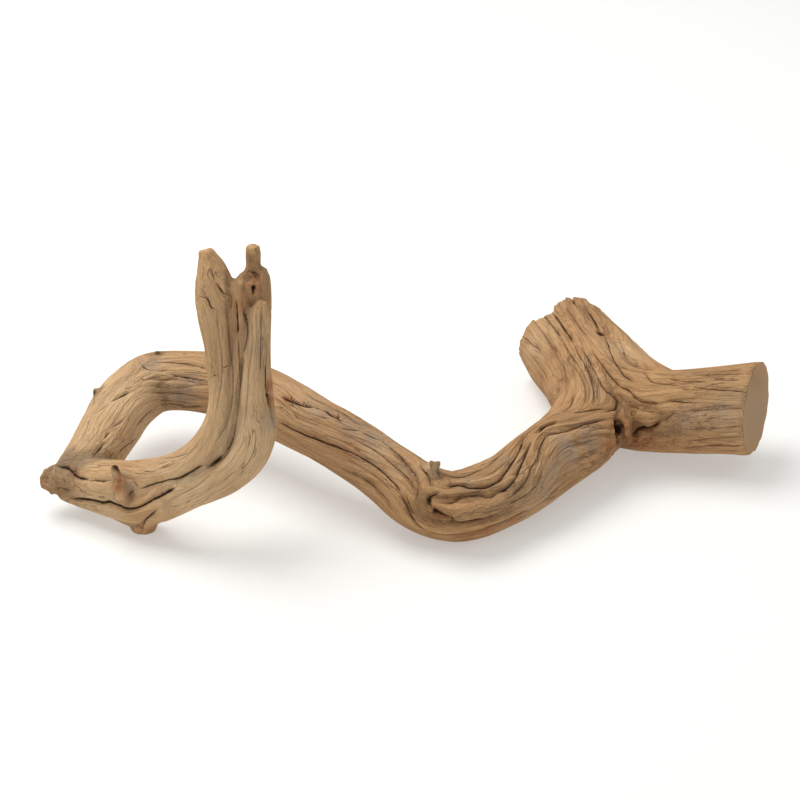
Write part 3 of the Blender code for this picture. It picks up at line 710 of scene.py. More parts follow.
    (0.6, 0.8, 0.8, [(210, 365), (212, 367.5), (213, 369.5)]),
    (0.6, 0.8, 0.7, [(212, 377), (214, 375.5), (217, 376.5)]),
    (0.6, 0.6, 0.3, [(226, 300), (228, 320), (230, 345), (233, 375), (232, 400), (226, 425), (214, 446)]),
    (0.6, 0.6, 0.25, [(216, 310), (219, 335), (222, 360), (221, 385), (215, 412)]),
    (0.6, 0.6, 0.25, [(252, 320), (252, 345), (249, 370), (247, 400), (244, 425)]),
    (0.7, 0.9, 0.4, [(230, 292), (231, 300), (230, 312)]),
    # stem behind the strands
    (0.9, 1.7, 1.0, [(280, 396), (285, 398), (290, 400), (296, 402), (302, 404), (308, 405), (315, 405)]),
    (0.6, 0.6, 0.8, [(290, 400), (291.5, 396)]),
    (0.6, 0.6, 0.8, [(303, 404), (304.5, 400.5)]),
    (0.9, 1.7, 1.0, [
        (322, 408.5), (327, 409.5), (330, 412), (335, 414.5), (338, 416), (340, 418.5), (345, 418),
    ]),
    (0.6, 0.6, 0.8, [(338, 416), (339, 412.5)]),
    (0.7, 1.0, 0.6, [(314, 405), (318, 406.5), (322, 408)]),
    (0.7, 1.0, 0.7, [(286, 402), (290, 404), (295, 407), (299, 409)]),
    (0.6, 0.7, 0.5, [(294, 413), (296, 417), (300, 419.5)]),
    (0.6, 0.7, 0.4, [(316, 415), (325, 417), (331, 418)]),
    (0.6, 0.8, 0.6, [(336, 420), (341, 422), (346, 424.5)]),
    (0.7, 0.9, 0.7, [(340, 427), (349, 428.5), (355, 429.5), (361, 430.5)]),
    (0.7, 1.0, 0.8, [(362, 433), (367, 434), (372, 436), (380, 440)]),
    (0.8, 1.2, 0.6, [
        (381, 440), (387, 443), (391, 446), (397, 450), (403, 456), (407, 462), (411, 467), (415, 473),
        (417, 478),
    ]),
    (0.8, 1.4, 1.0, [
        (278, 422.5), (285, 426), (291, 430), (298, 433), (304, 436), (311, 438.5), (318, 441), (325, 444),
        (333, 446), (341, 449), (349, 452), (356, 455), (363, 459), (370, 463), (377, 468), (383, 473),
        (389, 479), (394, 484), (398, 490), (400, 494),
    ]),
    (0.9, 1.5, 0.7, [(400, 494), (402, 500), (405, 507), (408, 514), (413, 522), (420, 530), (428, 534)]),
    (0.7, 1.0, 0.5, [
        (358, 441), (368, 446), (375, 450), (382, 455), (388, 460), (394, 465), (400, 470), (406, 475.5),
        (411, 482), (413, 490),
    ]),
    (0.8, 1.2, 0.7, [(406, 494), (407, 502), (409, 508), (411, 513), (415, 518)]),
    (0.7, 1.0, 0.5, [(360, 478), (370, 485), (377, 491), (383, 497), (387, 503), (390, 509)]),
    (0.6, 0.7, 0.4, [(308, 458), (316, 461.5), (324, 465)]),
    (0.6, 0.7, 0.35, [(338, 468), (350, 474), (360, 478)]),
    (0.6, 0.6, 0.25, [(345, 459), (360, 467), (370, 473), (378, 479), (386, 486), (390, 492)]),
    (0.6, 0.6, 0.25, [(414, 506), (416, 497), (418.5, 490), (418, 480), (416, 472)]),
    (0.6, 0.6, 0.25, [(300, 392), (315, 398), (330, 405), (345, 413), (360, 424)]),
]
# Radius and depth of each pit in millimetres, and its place in the picture.
PITS = [
    (1.2, 6.0, (618, 421.5)), (1.5, 7.0, (618.5, 426)), (1.5, 7.0, (619.5, 430.5)), (1.3, 6.0, (620, 435)),
    (1.2, 3.5, (619.5, 440)), (1.1, 2.6, (635.5, 433)), (1.2, 2.8, (635, 437.5)), (1.1, 2.4, (633.5, 442)),
    (2.0, 2.0, (602, 332.5)), (1.3, 1.6, (73, 471)), (1.2, 2.4, (253, 288)), (1.1, 2.0, (253, 293)),
    (1.2, 1.0, (430, 501)), (1.1, 1.2, (212, 466)),
]
# Radius and depth of each patch where the broken wood is left rough, and its place.
ROUGH = [
    (9.0, 1.0, (46, 480)), (5.0, 0.7, (66, 478)), (4.0, 0.6, (645, 440)),
    (5.0, 0.8, (240, 282)), (5.0, 0.8, (252, 280)), (4.0, 0.7, (264, 276)), (4.0, 0.5, (254, 250)),
    (5.0, 0.7, (203, 252)), (4.0, 0.6, (226, 275)), (5.0, 0.9, (142, 531)), (2.5, 0.5, (115, 467)),
    (5.0, 0.6, (270, 395)), (8.0, 0.5, (560, 300)), (8.0, 0.5, (590, 305)), (8.0, 0.4, (530, 325)),
]
print(len(CHECKS), "checks,", len(PITS), "pits and", len(ROUGH), "rough patches")

# %% Lay the lines on the wood
LINE_STEP = 0.6
FADE_POINTS = 8
FADE_BEND = 0.7
# A jump between neighbouring points means that the line has passed behind another limb.
JUMP = 6.0
FEWEST = 3
PIXEL_STEP = 1.0
PICTURE = 800
PICTURE_LENS = LENS / SENSOR * PICTURE
# The frame's origin, in the millimetres of the stations.
CENTRE = (5.493, 67.248, 0.0)
smooth_tree = BVHTree.FromPolygons(
    [vertex.co.copy() for vertex in wood_mesh.vertices], [tuple(face.vertices) for face in wood_mesh.polygons]
)
eye = camera.location / MM + Vector(CENTRE)
turn_to_world = camera.rotation_euler.to_matrix()


def worn_line(knots):
    """The points of a groove laid on the wood."""
    line = smooth_line(knots, LINE_STEP)[1]
    return np.array([smooth_tree.find_nearest(Vector(p))[0] for p in line])


def seen(x, y):
    """The point of the wood that the camera sees at a place in the picture."""
    right = (x - PICTURE / 2) / PICTURE_LENS
    above = (PICTURE / 2 - y) / PICTURE_LENS
    ray = turn_to_world @ Vector((right, above, -1.0))
    return smooth_tree.ray_cast(eye, ray.normalized())[0]


def seen_line(pixels):
    """The points of the wood that the camera sees along a line in the picture, as far as they join up."""
    runs = [[]]
    for x, y, _ in smooth_line([(x, y, 0.0) for x, y in pixels], PIXEL_STEP)[1]:
        hit = seen(x, y)
        if hit is None or (runs[-1] and (hit - runs[-1][-1]).length > JUMP):
            runs.append([])
        if hit is not None:
            runs[-1].append(hit)
    longest = max(runs, key=len)
    return np.array(longest if len(longest) > FEWEST else longest[:0])


def taper(count):
    """How deep a line is along its length: it fades out over a few millimetres at both ends."""
    from_end = np.minimum(np.arange(count), np.arange(count)[::-1]) + 0.5
    return np.clip(from_end / min(FADE_POINTS, count / 2), 0.0, 1.0) ** FADE_BEND


grooves = [(half, deep, worn_line(knots)) for half, deep, knots in GROOVES]
checks = [(half, deep, seen_line(pixels), dark) for half, deep, dark, pixels in CHECKS]
checks = [check for check in checks if len(check[2])]
lines = grooves + [check[:3] for check in checks]
print(len(grooves), "grooves and", len(checks), "of", len(CHECKS), "checks laid on the wood")

# %% [markdown]
# ## A lattice of arrows
# Round a knot or a fork the grain leaves the limb's direction and bends along the grooves. To follow it, the
# space near the skin is filled with a lattice of points 2 mm apart, each with the grain's direction, pulled
# towards the lines nearby. Walking through these arrows from a point and averaging the across coordinates
# on the way gives coordinates that hardly change along the true grain. Patterns drawn in them flow with it.

# %% Arrows near the skin
CELL = 2.0
MARGIN = 8.0
PULL = 6.0
OWN_WAY = 0.35
corner = wood_points.min(0) - MARGIN
shape = np.ceil((wood_points.max(0) + MARGIN - corner) / CELL).astype(int)
near_skin = np.zeros(shape, bool)
near_skin[tuple(((wood_points - corner) / CELL).astype(int).T)] = True
for axis in (0, 1, 2) * 3:
    near_skin |= np.roll(near_skin, 1, axis) | np.roll(near_skin, -1, axis)
cells = np.argwhere(near_skin)
cell_points = corner + cells * CELL
place, way, amount = blended_grain(cell_points)
pulled = way * OWN_WAY
for _, _, line in lines:
    near = ((cell_points > line.min(0) - 2 * PULL) & (cell_points < line.max(0) + 2 * PULL)).all(1)
    gap = np.linalg.norm(cell_points[near][:, None] - line[None], axis=2)
    line_way = unit(np.gradient(line, axis=0) + 1e-9)[gap.argmin(1)]
    line_way *= np.sign((line_way * way[near]).sum(1) + 1e-9)[:, None]
    pulled[near] += np.exp(-(gap.min(1) / PULL) ** 2)[:, None] * line_way
way = unit(pulled)
lattice = np.zeros((*shape, 8), np.float32)
lattice[tuple(cells.T)] = np.c_[place, way, amount, np.ones(len(cells))]
print(len(cells), "arrows")

# %% Walk along the arrows
WALK = 14
STRIDE = 2.5
HALF_FULL = 0.5


def read(field, points):
    """Values of a lattice between its points, and how much of the lattice is filled there."""
    spot = np.clip((points - corner) / CELL, 0, shape - 2)
    base = np.floor(spot).astype(int)
    part = spot - base
    total = np.zeros((len(points), field.shape[-1]))
    for step in np.ndindex(2, 2, 2):
        share = np.where(step, part, 1 - part).prod(1)
        total += share[:, None] * field[tuple((base + step).T)]
    return total[:, :-1] / np.clip(total[:, -1:], 1e-6, None), total[:, -1]


sums = place[:, :2].copy()
counts = np.ones(len(cells))
for sign in (1, -1):
    spot = cell_points.copy()
    heading = sign * way
    for _ in range(WALK):
        spot = spot + STRIDE * heading
        values, filled = read(lattice, spot)
        turned = unit(values[:, 3:6] + 1e-9)
        turned *= np.sign((turned * heading).sum(1) + 1e-9)[:, None]
        inside = filled > HALF_FULL
        heading = np.where(inside[:, None], turned, heading)
        sums += np.where(inside[:, None], values[:, :2], 0.0)
        counts += inside
grain_field = np.zeros_like(lattice)
settled = np.c_[sums / counts[:, None], place[:, 2], way, amount, np.ones(len(cells))]
grain_field[tuple(cells.T)] = settled
print("walked", WALK * STRIDE, "mm each way")

# %% [markdown]
# ## Furrows
# Soft early wood wears away and leaves the hard late wood standing, so the face of old driftwood is a field
# of rounded ridges with sharp valleys that run along the grain, split and join again. Noise that is stretched
# along the grain crosses zero in just such lines: the valley is cut there. Three sizes of it are laid over
# each other, about 7, 3.4 and 1.8 mm apart, as deep as each station says. End faces are spared.

# %% Cut the furrows
# Spacing and length in millimetres, how wide the valley is for its spacing, and its share of the depth.
FURROWS = [
    (7.0, 110.0, 0.26, 0.45),
    (3.4, 70.0, 0.30, 0.42),
    (1.8, 40.0, 0.40, 0.34),
]
WANDER = 1.3
WANDER_SCALE = 30.0
SWELL = 0.6
SWELL_SCALE = 22.0
VALLEY_BEND = 1.5


def grain_at(points):
    """Grain coordinates, direction and furrow depth at points, with a slow drift to the side."""
    values, _ = read(grain_field, points)
    wander = np.c_[grain_noise(points / WANDER_SCALE), grain_noise(points / WANDER_SCALE + 9.0)]
    return np.c_[values[:, :2] + WANDER * wander, values[:, 2]], unit(values[:, 3:6]), values[:, 6]


def furrow_depth(points, normals):
    place, way, amount = grain_at(points)
    cut = np.zeros(len(points))
    for spacing, length, narrow, share in FURROWS:
        wave = grain_noise(place / (spacing, spacing, length))
        cut += share * np.clip(1 - np.abs(wave) / narrow, 0.0, 1.0) ** VALLEY_BEND
    end_on = np.abs((normals * way).sum(1))
    return cut * amount * np.clip(1.3 - 1.6 * end_on, 0.0, 1.0)


furrows = furrow_depth(wood_points, wood_normals)
swell = SWELL * grain_noise(wood_points / SWELL_SCALE + 40.0)
print("furrows up to", round(furrows.max(), 2), "mm deep")

# %% Cut grooves, checks and pits
SHOULDER = 2.0
SHOULDER_SHARE = 0.42
REACH = 2.5 * SHOULDER
COARSE_TEAR = 2.6
FINE_TEAR = 1.4
cuts = np.zeros(len(wood_points))
shoulders = np.zeros(len(wood_points))
for half_width, deep, line in lines:
    near = ((wood_points > line.min(0) - REACH) & (wood_points < line.max(0) + REACH)).all(1)
    gap = np.linalg.norm(wood_points[near][:, None] - line[None], axis=2)
    here = deep * taper(len(line))[gap.argmin(1)]
    cuts[near] = np.maximum(cuts[near], here * np.clip(1 - gap.min(1) / half_width, 0.0, 1.0))
    shoulders[near] = np.maximum(shoulders[near], here * np.exp(-(gap.min(1) / SHOULDER) ** 2))
cuts += SHOULDER_SHARE * shoulders


def spot_fade(place, radius):
    """How near each point of the wood is to a place: one there, and fading over the radius."""
    gap = np.linalg.norm(wood_points - np.array(place), axis=1)
    return np.exp(-(gap / radius) ** 2)


for radius, deep, (x, y) in PITS:
    cuts = np.maximum(cuts, deep * spot_fade(seen(x, y), radius))
rough = np.zeros(len(wood_points))
for radius, deep, (x, y) in ROUGH:
    place = seen(x, y)
    if place is not None:
        rough = np.maximum(rough, deep * spot_fade(place, radius))
# Torn wood is hollowed a little on the whole, and stands up in places.
torn = grain_noise(wood_points / COARSE_TEAR + 20.0) + 0.5 * grain_noise(wood_points / FINE_TEAR + 30.0)
cuts += rough * (0.4 - 1.6 * torn)
carved = wood_points - (furrows + cuts - swell)[:, None] * wood_normals
print("deepest cut", round((furrows + cuts).max(), 2), "mm")

# %% [markdown]
# ## The two ends of the thick limb
# The trunk broke along its grain: its end is a crown of planks, each a little longer or shorter than the
# next, with a slot between them. The stub was sawn, and its rim has since worn round. Both are pushed in
# along the limb. The planks are given by the turn round the heart at which each starts, in degrees from the
# left, and by how much shorter it is. More stations could not make steps that sharp.

# %% Planks and the worn rim
BREAK_PLACE = np.array((80.5, 151.0, 22.0))
BREAK_INWARD = np.array((0.187, -0.982, 0.0))
BREAK_DEPTH = 28.0
BREAK_REACH = 45.0
SLOT_DEPTH = 9.0
SLOT_WIDE = 0.9
# Where each plank starts, in degrees; how much shorter it is and how deep its slot, in millimetres.
PLANKS = [
    (0, 8.0, 0.0), (12, 9.0, 0.0), (45, 12.0, 0.0), (56, 13.2, 2.0), (73.5, 7.5, 3.0), (81, 5.0, 0.0),
    (90, 3.0, 1.0), (95.5, 0.5, 0.0), (105.5, -1.5, 5.0), (115, -3.0, 0.0), (122, -4.0, 0.0),
    (131, -5.0, 2.0), (141, -4.0, 0.0), (152, -2.0, 1.5), (172, 0.6, 1.0), (200, 3.0, 2.5), (235, 1.5, 1.0),
    (262, 3.5, 3.0), (300, 1.5, 2.0), (332, 4.5, 1.5), (350, 6.5, 2.5),
]
SAWN_PLACE = (165.4, 61.0, 31.0)
SAWN_OUTWARD = (0.90, -0.42, 0.10)
RIM = 3.0
RIM_BEYOND = 4.0
RIM_WORN = 0.9
RIM_UNEVEN = 2.0
RIM_MOST = 2.0
from_break = carved - BREAK_PLACE
deep_in = from_break @ BREAK_INWARD
turn = np.degrees(np.arctan2(from_break[:, 2], -from_break[:, 0])) % 360
starts, shorter, slots = np.array(PLANKS).T
plank = np.searchsorted(starts, turn, side="right") - 1
off_start = np.abs((turn[:, None] - starts + 180) % 360 - 180)
arc = np.radians(off_start.min(1)) * np.hypot(from_break[:, 0], from_break[:, 2])
at_end = np.linalg.norm(from_break, axis=1) < BREAK_REACH
slot = slots[off_start.argmin(1)] * np.clip(1 - arc / SLOT_WIDE, 0.0, 1.0)
push_in = shorter[plank] * np.clip(1 - deep_in / BREAK_DEPTH, 0.0, 1.0) * at_end
push_in += slot * np.clip(1 - deep_in / SLOT_DEPTH, 0.0, 1.0) * at_end
carved += push_in[:, None] * BREAK_INWARD
cut_way = unit(np.array(SAWN_OUTWARD))
below_cut = -(carved - np.array(SAWN_PLACE)) @ cut_way
worn = np.clip(1 - below_cut / RIM, 0.0, 1.0) ** 2 * (below_cut > -RIM_BEYOND)
worn *= RIM_WORN + RIM_UNEVEN * grain_noise(wood_points / 6.0 + 70.0)
worn = np.clip(worn, 0.0, RIM_MOST)
carved -= worn[:, None] * wood_normals
wood_mesh.vertices.foreach_set("co", carved.astype(np.float32).ravel())
wood_mesh.update()
print(len(PLANKS), "planks, rim worn by up to", round(worn.max(), 1), "mm")

# %% [markdown]
# ## A clean closed mesh
# Steep walls stretch the faces, so the wood is remeshed once more and then thinned to a size that a library
# part can carry. The feet are cut flat where the wood has worn itself level on the ground, and the stub ends
# in its saw cut: a plane is exact there, and a sculpted cut would be no truer. Remeshing can leave a loose
# crumb inside a narrow slot, so only the largest island of the mesh is kept.

# %% Remesh, thin and cut flat
CLEAN_VOXEL = 0.55
TRIANGLES = 190000
FLATS = [((0.0, 0.0, 0.0), (0.0, 0.0, -1.0)), (SAWN_PLACE, SAWN_OUTWARD)]
wood_mesh = modified(wood, [("REMESH", {"mode": "VOXEL", "voxel_size": CLEAN_VOXEL})])
share = min(1.0, TRIANGLES / (2 * len(wood_mesh.polygons)))
wood_mesh = modified(wood, [("TRIANGULATE", {}), ("DECIMATE", {"ratio": share})])
work = bmesh.new()
work.from_mesh(wood_mesh)
for place, outward in FLATS:
    parts = work.verts[:] + work.edges[:] + work.faces[:]
    cut = bmesh.ops.bisect_plane(
        work, geom=parts, dist=0.01, plane_co=place, plane_no=outward, clear_outer=True
    )
    rim = [part for part in cut["geom_cut"] if isinstance(part, bmesh.types.BMEdge)]
    filled = bmesh.ops.holes_fill(work, edges=rim, sides=0)
    bmesh.ops.triangulate(work, faces=filled["faces"])
print("cut flat at", len(FLATS), "planes")

# %% Keep the largest island


def island_from(first):
    """All the points that hang together with one, each marked with its tag."""
    first.tag = True
    island = []
    waiting = [first]
    while waiting:
        point = waiting.pop()
        island.append(point)
        for edge in point.link_edges:
            other = edge.other_vert(point)
            if not other.tag:
                other.tag = True
                waiting.append(other)
    return island


islands = [island_from(point) for point in work.verts if not point.tag]
crumbs = [point for island in sorted(islands, key=len)[:-1] for point in island]
bmesh.ops.delete(work, geom=crumbs, context="VERTS")
open_edges = sum(not edge.is_manifold for edge in work.edges)
work.to_mesh(wood_mesh)
work.free()
print(len(wood_mesh.polygons), "triangles,", open_edges, "open edges,", len(islands) - 1, "crumbs removed")

# %% [markdown]
# ## What each point of the wood remembers
# The finish needs to know where a point lies in the grain, how deep it sits in a hollow and how near it is to
# a crack. Painting by hand on the mesh could store that, but it can be worked out from the shape and from the
# lines that cut it, and kept as named attributes. A crack's signed side offset is stored, not a colour, so
# the shader can draw a crack much thinner than a triangle.

# %% Grain and hollows
# Rounds of averaging with the neighbours: more rounds even out a wider neighbourhood.
FINE_HOLLOW = 4
BROAD_HOLLOW = 30


def store(name, values):
    kind = "FLOAT_VECTOR" if values.ndim == 2 else "FLOAT"
    attribute = wood_mesh.attributes.new(name, kind, "POINT")
    attribute.data.foreach_set("vector" if values.ndim == 2 else "value", values.astype(np.float32).ravel())


def hollow_after(rounds):
    """How far each point lies below its neighbourhood, in millimetres."""
    ends = np.empty(2 * len(wood_mesh.edges), np.int32)
    wood_mesh.edges.foreach_get("vertices", ends)
    ends = ends.reshape(-1, 2)
    here, there = np.r_[ends[:, 0], ends[:, 1]], np.r_[ends[:, 1], ends[:, 0]]
    count = np.bincount(here, minlength=len(skin))
    evened = skin.copy()
    for _ in range(rounds):
        evened = np.stack([np.bincount(here, evened[there, k], len(skin)) / count for k in range(3)], 1)
    return ((evened - skin) * skin_normals).sum(1)


skin = mesh_points(wood_mesh)
skin_normals = mesh_normals(wood_mesh)
grain, _, furrowed = grain_at(skin)
store("grain", grain)
store("furrowed", furrowed)
for name, (spacing, length, _, _) in zip(("wide_wave", "middle_wave", "fine_wave"), FURROWS):
    store(name, grain_noise(grain / (spacing, spacing, length)))
# The finish paints shade into these hollows.
fine_hollow = hollow_after(FINE_HOLLOW)
broad_hollow = hollow_after(BROAD_HOLLOW)
store("fine_hollow", fine_hollow)
store("broad_hollow", broad_hollow)
print("hollows, mm:", np.round(np.percentile(fine_hollow, [5, 50, 95]), 3),
      np.round(np.percentile(broad_hollow, [5, 50, 95]), 3))

# %% Distance from the nearest check
BEYOND = 3.0
# A check is dark over about half its width. One that gapes, with a half width above 0.9, is dark over more.
DARK_SHARE = 0.48
GAPES_FROM = 0.9
GAPES_BY = 0.8
line_points = np.concatenate([check[2] for check in checks])
line_ways = np.concatenate([unit(np.gradient(check[2], axis=0) + 1e-9) for check in checks])
line_dark = np.concatenate([taper(len(line)) * dark for _, _, line, dark in checks])
line_wide = np.concatenate([
    taper(len(line)) * (DARK_SHARE * half + GAPES_BY * max(half - GAPES_FROM, 0.0))
    for half, _, line, _ in checks
])
line_tree = KDTree(len(line_points))
for index, point in enumerate(line_points.tolist()):
    line_tree.insert(point, index)
line_tree.balance()
nearest = np.array([line_tree.find(point)[1] for point in skin.tolist()])
smooth_normals = np.array([smooth_tree.find_nearest(Vector(point))[1] for point in skin.tolist()])
offset = skin - line_points[nearest]
offset -= (offset * smooth_normals).sum(1)[:, None] * smooth_normals
sideways = unit(np.cross(line_ways[nearest], smooth_normals) + 1e-9)
store("crack_side", (offset * sideways).sum(1))
store("crack_gap", np.clip(np.linalg.norm(offset, axis=1), 0.0, BEYOND))
store("crack_dark", line_dark[nearest])
store("crack_wide", line_wide[nearest])
print("attributes on", len(skin), "points")

# %% [markdown]
# ## Tones of the weather, and painted light and shade
# Sun bleaches what stands proud, damp leaves grey and violet patches, and resin and rot leave red-brown in
# knots. Some spots are painted light and shade: pale ones lighten the upright strands, grey ones are painted
# shade in the arch's inner bend and the elbow's hollow, and red ones are painted shade in the fork's crotch,
# under the belly and beside the crack behind the strands. Holes are painted nearly black, as painted shade.
# Each is a soft spot on the wood: where the camera sees it, its radius in millimetres and its strength. Noise
# alone could scatter such spots, but these are landmarks.

# %% Pale, grey, red and dark spots
TONES = {
    # Sun-bleached ridges, and painted light on the upright strands.
    "pale": [
        ((212, 330), 34, 0.45), ((222, 420), 26, 0.7), ((225, 375), 16, 0.3), ((252, 330), 12, 0.8),
        ((248, 390), 18, 0.8), ((245, 450), 26, 1.0), ((190, 490), 24, 1.0), ((150, 475), 14, 0.6),
        ((100, 505), 18, 0.8), ((130, 400), 30, 0.9), ((95, 440), 22, 0.8), ((170, 365), 22, 0.25),
        ((434, 468), 4, 1.0), ((290, 395), 16, 0.4), ((535, 340), 12, 0.5), ((380, 440), 12, 0.4),
        ((525, 505), 16, 0.4), ((735, 415), 16, 0.3), ((625, 350), 12, 0.5), ((90, 460), 8, 0.9),
    ],
    # Damp patches, and painted shade in the arch's inner bend and the elbow's hollow.
    "grey": [
        ((178, 396), 4.5, 1.0), ((186, 398), 4, 0.8), ((188, 394), 4, 0.6), ((190, 381), 5, 0.6),
        ((150, 362), 5, 0.7), ((345, 420), 6, 0.9), ((357, 427), 6, 0.9), ((333, 412), 5, 0.7),
        ((370, 436), 5, 0.8), ((312, 412), 6, 0.5), ((555, 470), 7, 0.6), ((570, 450), 7, 0.8),
        ((590, 438), 7, 0.8), ((545, 490), 6, 0.5), ((725, 411), 6, 0.7), ((700, 414), 6, 0.6),
        ((682, 418), 6, 0.6), ((740, 400), 5, 0.4), ((598, 390), 4, 0.5), ((590, 375), 4, 0.5),
        ((584, 360), 4, 0.4), ((65, 460), 5, 0.8), ((76, 466), 4, 0.6), ((66, 474), 3, 0.5),
        ((52, 472), 4, 0.4), ((128, 488), 3, 0.8), ((256, 350), 6, 0.4), ((270, 420), 5, 0.6),
        ((465, 480), 6, 0.4), ((505, 460), 6, 0.4), ((112, 478), 2, 0.8), ((320, 408), 9, 0.45),
        ((350, 424), 9, 0.5), ((382, 446), 9, 0.4), ((404, 466), 8, 0.35), ((562, 440), 8, 0.4),
    ],
    # Rot and resin in knots, and painted shade in the fork's crotch, under the belly and beside the crack
    # behind the strands.
    "red": [
        ((602, 333), 3, 1.0), ((613, 427), 1.6, 1.0), ((618, 440), 3, 1.0), ((610, 445), 4, 0.7),
        ((635, 438), 2.2, 1.0), ((646, 431), 1.8, 0.9), ((657, 424), 1.6, 0.9), ((642, 447), 5, 0.8),
        ((633, 446), 2.5, 0.9), ((627, 428), 3, 0.6), ((625, 418), 3, 0.45), ((650, 441), 5, 0.7),
        ((627, 440), 3.5, 0.8), ((640, 422), 3, 0.3), ((668, 447), 5, 0.4), ((638, 436), 3, 0.7),
        ((73, 471), 1.8, 1.0), ((271, 385), 3, 0.9), ((272, 400), 3, 0.9), ((287, 399), 3, 0.7),
        ((118, 487), 2.5, 0.9), ((120, 480), 2, 0.8), ((143, 530), 4, 0.6), ((436, 514), 3, 0.9),
        ((447, 519), 2.5, 0.8), ((240, 330), 5, 0.5), ((240, 305), 5, 0.6), ((252, 280), 4, 0.6),
        ((490, 530), 5, 0.6), ((515, 520), 5, 0.6), ((465, 537), 5, 0.5), ((715, 446), 5, 0.3),
        ((690, 448), 5, 0.3), ((42, 480), 3, 0.5), ((345, 447), 5, 0.3),
    ],
    # Painted shade drawn near black in holes and slots, and the dark of a few knots.
    "dark": [
        ((618, 422), 1.3, 1.0), ((618.5, 427), 1.9, 1.0), ((619.5, 432), 1.9, 1.0),
        ((602, 332.5), 2.0, 1.0), ((619.5, 438), 1.3, 0.6), ((635, 436), 1.0, 0.5), ((94, 393), 1.5, 0.7),
        ((158, 353), 2.0, 0.6), ((115, 466), 1.5, 0.8), ((253, 288), 1.0, 0.8), ((429, 500), 1.2, 0.7),
        ((258, 262), 1.2, 0.4), ((434, 511), 1.5, 0.7), ((133, 528), 1.5, 0.5),
    ],
}
print("spots:", {tone: len(spots) for tone, spots in TONES.items()})

# %% Lay the spots on the wood
# A spot reaches this far straight down, so that the wall and floor of a hole are as dark as its rim; in holes
# this is painted shade.
HOLE_DEPTH = 8.0
SAWN_SKIN = 0.05
for tone, spots in TONES.items():
    amount = np.zeros(len(skin))
    for (x, y), radius, strength in spots:
        place = seen(x, y)
        if place is not None:
            outward = np.array(smooth_tree.find_nearest(place)[1])
            offset = skin - np.array(place)
            below = np.clip(-(offset @ outward), 0.0, HOLE_DEPTH)
            gap = np.linalg.norm(offset + below[:, None] * outward, axis=1)
            amount = np.maximum(amount, strength * np.exp(-(gap / radius) ** 2))
    store(tone, amount)
    print(tone, "on", int((amount > 0.3).sum()), "points")
store("sawn", ((skin - np.array(SAWN_PLACE)) @ cut_way > -SAWN_SKIN).astype(float))

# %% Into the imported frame
SHARP_FROM = 60.0
wood_mesh.transform(Matrix.Diagonal((MM, MM, MM, 1.0)) @ Matrix.Translation(-Vector(CENTRE)))
wood_mesh.shade_smooth()
wood_mesh.set_sharp_from_angle(angle=math.radians(SHARP_FROM))
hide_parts("driftwood")
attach(wood, "root")
print("wood, mm:", [round(v * 1000, 1) for v in wood.dimensions])

# %% [markdown]
# ## Weathered driftwood
# The real finish is bare wood: bark gone, surface eroded along the grain, no oil or varnish. It is matt and
# slightly fuzzy, tan to honey, with its grooves and hollows darkened as painted shade and what stands proud
# made paler. Its bands are the year rings cut at a slant, 2 to 4 mm apart; its fibres are under 0.05 mm in
# truth and are drawn 0.5 mm apart so that they show. Wood fibre has an IOR of about 1.5 and nothing metallic,
# and a roughness near 0.9 leaves it no shine.
# A picture of wood wrapped round would smear at every bend, so every pattern is worked out from the grain
# coordinates instead.

# %% Colours and the node helper


def linear(hex_colour):
    """An sRGB hex colour as linear RGBA."""
    parts = [int(hex_colour[k:k + 2], 16) / 255 for k in (1, 3, 5)]
    return tuple([c / 12.92 if c <= 0.04045 else ((c + 0.055) / 1.055) ** 2.4 for c in parts] + [1.0])


def add_node(tree, kind, inputs=(), output=0, **settings):
    """One output of a new node. Its inputs are values or other nodes' outputs, in order or by name."""
    new = tree.nodes.new("ShaderNode" + kind)
    for name, value in settings.items():
        setattr(new, name, value)
    for name, value in inputs.items() if isinstance(inputs, dict) else enumerate(inputs):
        if isinstance(value, bpy.types.NodeSocket):
            tree.links.new(value, new.inputs[name])
        else:
            new.inputs[name].default_value = value
    return new.outputs[output] if len(new.outputs) else None


BODY = linear("#B68A5F")
# Dark grain bands; the same colour is also painted into broad hollows as painted shade.
DARK_BAND_AND_SHADE = linear("#9C744C")
BAND_PALE = linear("#CBA273")
# Sun-bleached wood, also used as painted light on the upright strands.
BLEACHED_AND_LIT = linear("#DFC49D")
# Damp grey, also painted shade in the arch's inner bend and the elbow's hollow.
DAMP_GREY_AND_SHADE = linear("#A1907E")
# Red-brown of rot and resin, also painted shade in the fork's crotch and under the belly.
RED_ROT_AND_SHADE = linear("#A0562A")
# Painted shade in the furrows and small hollows.
FURROW_SHADE = linear("#6B4729")
# Near black of checks and hairlines, and painted shade inside holes.
CREVICE = linear("#2A180B")
SAW_CUT = linear("#A48562")
driftwood = bpy.data.materials.new("weathered_driftwood")
driftwood.use_nodes = True
tree = driftwood.node_tree
tree.nodes.clear()
wood.data.materials.clear()
wood.data.materials.append(driftwood)
print("finish:", driftwood.name)

# %% What the mesh remembers, in the shader
SMOOTH = "SMOOTHSTEP"
EVEN = "LINEAR"
STORED = (
    "furrowed", "wide_wave", "middle_wave", "fine_wave", "fine_hollow", "broad_hollow", "crack_side",
    "crack_gap", "crack_dark", "crack_wide", "pale", "grey", "red", "dark", "sawn",
)
stored = {}
for name in STORED:
    stored[name] = add_node(tree, "Attribute", output="Fac", attribute_name=name)
grain_place = add_node(tree, "Attribute", output="Vector", attribute_name="grain")
print(len(stored), "measures and the grain's coordinates")

# %% Bands and fibres along the grain


